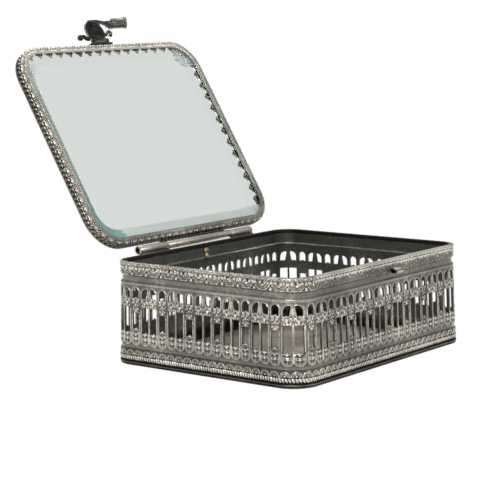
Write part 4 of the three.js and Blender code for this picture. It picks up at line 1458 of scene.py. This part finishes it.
def add_bezel():
    """The strip over the glass, with its teeth bent down to it. Some teeth by the clasp are darker, as a
    painted shadow of the clasp.
    """
    inset = 1.6
    bottom = LID_TOP - BEZEL_THICKNESS
    inner = rounded_points(LID_WIDTH - 2 * inset, LID_DEPTH - 2 * inset, LID_CORNER_RADIUS - inset, 3)
    edge = []
    for index, point in enumerate(inner):
        following = inner[(index + 1) % len(inner)]
        if np.linalg.norm(following - point) > 1:
            edge += tooth_outline(point, following)
    edge = np.array(edge)
    outer = rounded_points(LID_WIDTH, LID_DEPTH, LID_CORNER_RADIUS, 16)
    loops = [list(range(len(edge))), list(range(len(edge), len(edge) + len(outer)))]
    flat = np.concatenate([edge, outer])

    def distance(points):
        return np.minimum(polygon_distance(points, edge), -polygon_distance(points, outer))

    out, triangles, _ = triangulated(flat, loops, distance)
    inside = polygon_distance(out, inner)
    sag = 0.25 * smooth(-inside, 0, 2.6)
    roll = 0.22 * smooth(inside, inset - 0.7, inset)
    top = np.column_stack([out, LID_TOP - sag - roll])
    low = np.column_stack([out, np.full(len(out), bottom)])
    count = len(out)
    boundary = {}
    for a, b, c in triangles:
        for pair in ((a, b), (b, c), (c, a)):
            boundary[pair] = True
    faces = [tuple(t) for t in triangles] + [tuple(t[::-1] + count) for t in triangles]
    for a, b in boundary:
        if (b, a) not in boundary:
            faces.append((b, a, a + count, b + count))
    points = np.concatenate([top, low])
    # Painted shadow of the clasp on the teeth beside it.
    left, right = CLASP_SHADOW_TEETH
    painted_clasp_shadow = (points[:, 0] > left) & (points[:, 0] < right) & (points[:, 1] < LID_CENTRE_Y)
    shine = np.where(painted_clasp_shadow, 0.25, 1.0)
    add_piece("tooth_bezel", (points, faces), "aged_silver", "lid", "lid_bezel", LID_PLACE,
              shine=shine, materials=["polished_silver"])


def pane_outline(inset, z, radius):
    """One level of the pane, with the same number of points whatever its size."""
    ring = Ring(LID_WIDTH - 2 * inset, LID_DEPTH - 2 * inset, radius, LID_CENTRE_Y)
    s = []
    at = 0
    for straight in (ring.along, ring.across, ring.along, ring.across):
        s.append(at + straight * np.arange(40) / 40)
        s.append(at + straight + ring.arc * np.arange(24) / 24)
        at += straight + ring.arc
    return ring.points(np.concatenate(s), 0.0, z)


def pane_levels():
    """The pane's levels from below: its inset, its height and its corner radius at each of them."""
    outer_corner = LID_CORNER_RADIUS - PANE_INSET
    bottom = LID_BOTTOM + 1 + FIT_GAP
    edge_top = bottom + 1.7
    top = bottom + 3.6
    levels = [
        (PANE_INSET + 0.25, bottom, outer_corner - 0.25),
        (PANE_INSET, bottom + 0.25, outer_corner),
        (PANE_INSET, edge_top - 0.2, outer_corner),
        (PANE_INSET + 0.2, edge_top, outer_corner - 0.2),
    ]
    for share in np.arange(1, BEVEL_ROWS + 1) / BEVEL_ROWS:
        levels.append((
            PANE_INSET + 0.2 + share * (BEVEL_WIDTH - 0.3),
            edge_top + share * (top - 0.03 - edge_top),
            outer_corner + share * (BEVEL_CORNER - outer_corner),
        ))
    levels.append((PANE_INSET + BEVEL_WIDTH + 0.15, top, BEVEL_CORNER))
    levels.append((PANE_INSET + BEVEL_WIDTH + 1.5, top, BEVEL_CORNER))
    return levels


def green_edge(points):
    """1 where the bevel is painted with the green light that comes through the glass's edge: beyond a curve
    in the left corner at the hinge, and along a line that goes on down the left side."""
    across = (points[:, 0] + LID_WIDTH / 2 - 18.5) / 11.2
    along = (points[:, 1] - LID_CENTRE_Y - 4) / 36.5
    beyond_curve = smooth(np.hypot(across, along), 0.97, 1.03) * (across < 0) * (along > 0)
    left_line = smooth(-across, 0.97, 1.03) * (along <= 0) * smooth(along, -1.6, -0.3)
    return beyond_curve + left_line


def add_glass():
    """The pane: flat below, with a wide ground bevel above that leaves a thin edge."""
    levels = pane_levels()
    points = np.concatenate([pane_outline(*level) for level in levels])
    columns = len(points) // len(levels)
    faces = [tuple(face) for face in grid_faces(len(levels), columns, wrap_columns=True)]
    middles = points[np.array(faces)].mean(axis=1)
    from_left = middles[:, 0] + LID_WIDTH / 2
    from_hinge = LID_CENTRE_Y + LID_DEPTH / 2 - middles[:, 1]
    lit_far = 13
    lit_near = 14
    far_corner = (from_left > LID_WIDTH - lit_far) & (from_hinge > LID_DEPTH - lit_far)
    in_corner = far_corner | (from_left < lit_near) & (from_hinge < lit_near)
    row = np.arange(len(faces)) // columns
    flat = row >= len(levels) - 2
    on_bevel = (row >= 3) & ~flat
    lit_width = BEVEL_WIDTH + 2.4
    lit = on_bevel & ((from_left < lit_width) | (from_hinge < lit_width) | in_corner)
    parts = np.where(lit, 3, np.where(on_bevel, 1, np.where(flat, 0, 2))).tolist() + [0, 0]
    faces.append(tuple(range(columns))[::-1])
    faces.append(tuple(range(len(points) - columns, len(points))))
    add_piece("glass_pane", (points, faces), "bevelled_glass", "lid", "lid_glass", LID_PLACE,
              shine=green_edge(points), parts=parts,
              materials=["bevelled_glass", "bevel_glass", "ground_glass", "lit_bevel"])


# ---- clasp ----

def smooth_route(stations, steps):
    """A Catmull-Rom line through stations, in rows of x, y, z and any further columns."""
    p = np.array(stations, float)
    p = np.concatenate([[2 * p[0] - p[1]], p, [2 * p[-1] - p[-2]]])
    rows = []
    for i in range(1, len(p) - 2):
        for k in range(steps):
            t = k / steps
            rows.append(0.5 * (
                2 * p[i]
                + (p[i + 1] - p[i - 1]) * t
                + (2 * p[i - 1] - 5 * p[i] + 4 * p[i + 1] - p[i + 2]) * t**2
                + (3 * p[i] - p[i - 1] - 3 * p[i + 1] + p[i + 2]) * t**3
            ))
    rows.append(p[-2])
    return np.array(rows)


def wire(stations, steps=10, around=14, strands=0, twist=0.0, depth=0.16):
    """A round bar through stations of x, y, z and radius. Strands, if any, turn round it as in a rope."""
    rows = smooth_route(stations, steps)
    centres = rows[:, :3]
    radii = rows[:, 3]
    ahead = np.gradient(centres, axis=0)
    ahead /= np.linalg.norm(ahead, axis=1)[:, None]
    travelled = np.concatenate([[0], np.cumsum(np.linalg.norm(np.diff(centres, axis=0), axis=1))])
    angle = circle(around)[:, None]
    rings = []
    aside = np.cross(ahead[0], [0, 0, 1])
    for centre, way, radius, far in zip(centres, ahead, radii, travelled):
        aside = aside - way * np.dot(aside, way)
        aside /= np.linalg.norm(aside)
        up = np.cross(way, aside)
        groove = 1 - depth * np.abs(np.sin(strands * (angle - twist * far) / 2))
        rings.append(centre + radius * groove * (np.cos(angle) * aside + np.sin(angle) * up))
    tips = centres[[0, -1]] + np.array([[-1], [1]]) * ahead[[0, -1]] * radii[[0, -1], None] * 0.45
    return skinned(rings, *tips)


def add_clasp_flange():
    """The clasp's base on the lid's rim, with an ear at either end of the knuckle."""
    rim_face = LID_CENTRE_Y - LID_DEPTH / 2 - FIT_GAP
    middle_z = (LID_BOTTOM + LID_TOP) / 2 - 0.4
    half_height = 1.7
    plate = prism(
        [(rim_face, middle_z - half_height), (rim_face, middle_z + half_height),
         (rim_face - 0.7, middle_z + half_height), (rim_face - 0.7, middle_z - half_height)],
        CLASP_X - 7, CLASP_X + 7, 0.22, 3,
    )
    parts = [plate]
    for side in (-1, 1):
        x = CLASP_X + side * (CLASP_KNUCKLE_LENGTH / 2 + FIT_GAP + 0.5)
        outline = []
        for angle in np.linspace(math.pi / 2, 3 * math.pi / 2, 14):
            y = PIVOT_Y + CLASP_KNUCKLE_RADIUS * math.cos(angle)
            outline.append((y, PIVOT_Z + CLASP_KNUCKLE_RADIUS * math.sin(angle)))
        outline += [(rim_face - 0.3, PIVOT_Z - 0.8), (rim_face - 0.3, PIVOT_Z + CLASP_KNUCKLE_RADIUS)]
        parts.append(prism(outline, x - 0.5, x + 0.5, 0.1, 2))
    add_piece("clasp_foot", merged(parts), "dark_silver", "lid", "clasp_flange", LID_PLACE, 0.6)


def tube_along_x(x0, x1, outer, bore, around=28):
    """A tube about the X axis with rounded edges."""
    soft = 0.08
    profile = [
        (bore, x0 + soft), (bore + soft, x0), (outer - soft, x0), (outer, x0 + soft),
        (outer, x1 - soft), (outer - soft, x1), (bore + soft, x1), (bore, x1 - soft),
    ]
    turn = circle(around)
    rings = []
    for radius, x in profile:
        rings.append(np.stack([np.full(around, x), radius * np.cos(turn), radius * np.sin(turn)], axis=1))
    return np.concatenate(rings), grid_faces(len(profile), around, True, True).tolist()


def dish():
    """The domed disc, cut straight beside the knuckle, with a raised inner ring."""
    trim = -1.4
    thickness = 0.6
    shares = np.array([0.02, 0.2, 0.4, 0.55, 0.62, 0.7, 0.8, 0.88, 0.94, 0.98, 1.0])
    around = 56
    angle = circle(around)
    layers = []
    for lift, order in ((thickness, 1), (0, -1)):
        for share in shares[::order]:
            raised_ring = 0.16 * float(bump(share - 0.62, 0.07)) * order
            rise = DISC_DEPTH * (1 - share**2) + lift - 0.35 + raised_ring
            x = DISC_X + DISC_RADIUS * share * np.cos(angle)
            y = np.minimum(DISC_RADIUS * share * np.sin(angle) - DISC_CENTRE, trim)
            layers.append(np.stack([x, y, np.full(around, rise)], axis=1))
    points = np.concatenate(layers)
    count = len(shares) * 2
    faces = [tuple(face[::-1]) for face in grid_faces(count, around, wrap_columns=True)]
    faces.append(tuple(range(around)))
    faces.append(tuple(range((count - 1) * around, count * around))[::-1])
    return points, faces


def add_clasp_disc():
    """The domed disc with its knuckle, the tongue between them and a roped edge."""
    half = CLASP_KNUCKLE_LENGTH / 2
    knuckle = tube_along_x(-half, half, CLASP_KNUCKLE_RADIUS, CLASP_BORE)
    tongue = prism([(-0.85, -0.2), (-0.85, 0.55), (-3.0, 0.95), (-3.0, 0.3)], -half, half, 0.12, 2)
    edge = []
    for angle in np.linspace(math.radians(32), math.radians(-212), 30):
        x = DISC_X + DISC_RADIUS * math.cos(angle)
        edge.append((x, DISC_RADIUS * math.sin(angle) - DISC_CENTRE, -0.05, 0.48))
    rope = wire(edge, 4, 12, strands=2, twist=2.2, depth=0.3)
    points, faces = merged([dish(), knuckle, tongue, rope])
    radius = np.hypot(points[:, 0] - DISC_X, points[:, 1] + DISC_CENTRE)
    shine = np.where(radius > DISC_RADIUS * 0.97, 0.75, 0.3)
    add_piece("hasp_disc", (points, faces), "dark_silver", "clasp", "clasp_disc", CLASP_PLACE, shine)


def add_clasp_pin():
    """The pin on which the clasp turns, with rounded ends."""
    low, high = corners("clasp_pin")
    half = (high[0] - low[0]) / 2
    profile = [(0, -half), (0.3, -half), (0.45, -half + 0.12), (0.45, half - 0.12), (0.3, half), (0, half)]
    turn = CLASP_PLACE @ Matrix.Rotation(math.pi / 2, 4, "Y")
    add_piece("pivot_pin", turned_shape(profile, 20), "dark_silver", "lid", "clasp_pin", turn, 0.6)


def add_rope_bar():
    """The twisted bar along the disc's edge, with the web that joins it to the disc."""
    steps = 16
    around = 48
    strands = 7
    bar = wire([
        (-2.2, -10.25, 0, 0.5), (0.6, -10.35, 0, 0.62), (2.8, -10.25, 0, 0.74), (5.6, -9.85, 0.2, 0.86),
        (8.6, -9.6, 0.9, 1.04), (10, -9.53, 1.15, 1.22), (11.5, -9.35, 1.4, 1.7), (13, -9.1, 1.7, 2.05),
        (14.3, -8.9, 2.05, 1.9),
    ], steps, around, strands, twist=0.42, depth=0.2)
    web = lumpy_blob((2.3, -8.5, 0.05), (2.5, 1.0, 0.35), 2.2, 10, 20, 0.08)
    points, faces = merged([bar, web])
    index = np.arange(len(bar[0]))
    turned = index % around * strands * 2 * math.pi / around
    stations_passed = index // around / steps
    shine = np.full(len(points), 0.5)
    shine[index] += 0.28 * np.cos(turned - 3 * stations_passed)
    add_piece("rope_bar", (points, faces), "dark_silver", "clasp", "latch_bar", CLASP_PLACE, shine)


def add_pull_tube():
    """The open tube at the end of the bar, with a thicker lip at its far end."""
    way = Vector((0.854, 0.227, -0.467)).normalized()
    turn = way.to_track_quat("Z", "X").to_matrix().to_4x4()
    place = CLASP_PLACE @ Matrix.Translation((16.2, -10.5, 3)) @ turn
    profile = [
        (0, 6.3), (1.7, 6.3), (1.85, 6.1), (1.9, 0.2), (2.05, 0), (2.35, 0), (2.45, 0.12),
        (2.45, 0.35), (2.38, 0.5), (2.36, 2.8), (2.36, 5.2), (2.45, 5.7), (2.7, 5.9),
        (2.8, 6.2), (2.78, 6.6), (2.6, 6.9), (2.2, 7), (1.6, 6.9), (0, 6.85),
    ]
    points, faces = turned_shape(profile, 36)
    radius = np.hypot(points[:, 0], points[:, 1])
    # Painted shade: the inside of the bore is black. The rim round the opening is lighter.
    shine = np.where(radius < 2.0, 0.0, np.where(points[:, 2] < 0.5, 0.95, 0.72))
    add_piece("pull_tube", (points, faces), "polished_silver", "clasp", "grip_tube", place,
              shine=shine, materials=["dark_silver"])


def add_scrolls():
    """The scroll that ends in a ball, on the left, and the hooked one on the right."""
    arm = wire([
        (-6.2, -1.2, 0, 1.05), (-7.8, -1.4, 0, 1.0), (-9.6, -2.5, 0, 0.85), (-11.2, -2.0, 0, 0.7),
    ], 10, 16)
    ball = lumpy_blob((-11.6, -1.9, 0), (1.38, 1.38, 1.38), 0.3, 16, 24, 0.06)
    left = merged([arm, ball])
    add_piece("left_scroll", left, "dark_silver", "clasp", "scroll_left", CLASP_PLACE, 0.5)
    right = wire([
        (5.4, -2.8, 0, 0.8), (6.9, -4, 0, 0.75), (8.3, -4.7, 0, 0.72),
        (9.2, -3.7, 0, 0.74), (8.2, -2.5, 0, 0.88),
    ], 10, 16)
    add_piece("right_scroll", right, "dark_silver", "clasp", "scroll_right", CLASP_PLACE, 0.6)


add_camera()
add_studio()
add_wall()
add_foot()
add_rim()
add_inner_strip()
add_floor_plate()
add_seam_solder()
add_catch()
add_hinge()
add_lid_frame()
add_bezel()
add_glass()
add_clasp_flange()
add_clasp_pin()
add_clasp_disc()
add_rope_bar()
add_pull_tube()
add_scrolls()
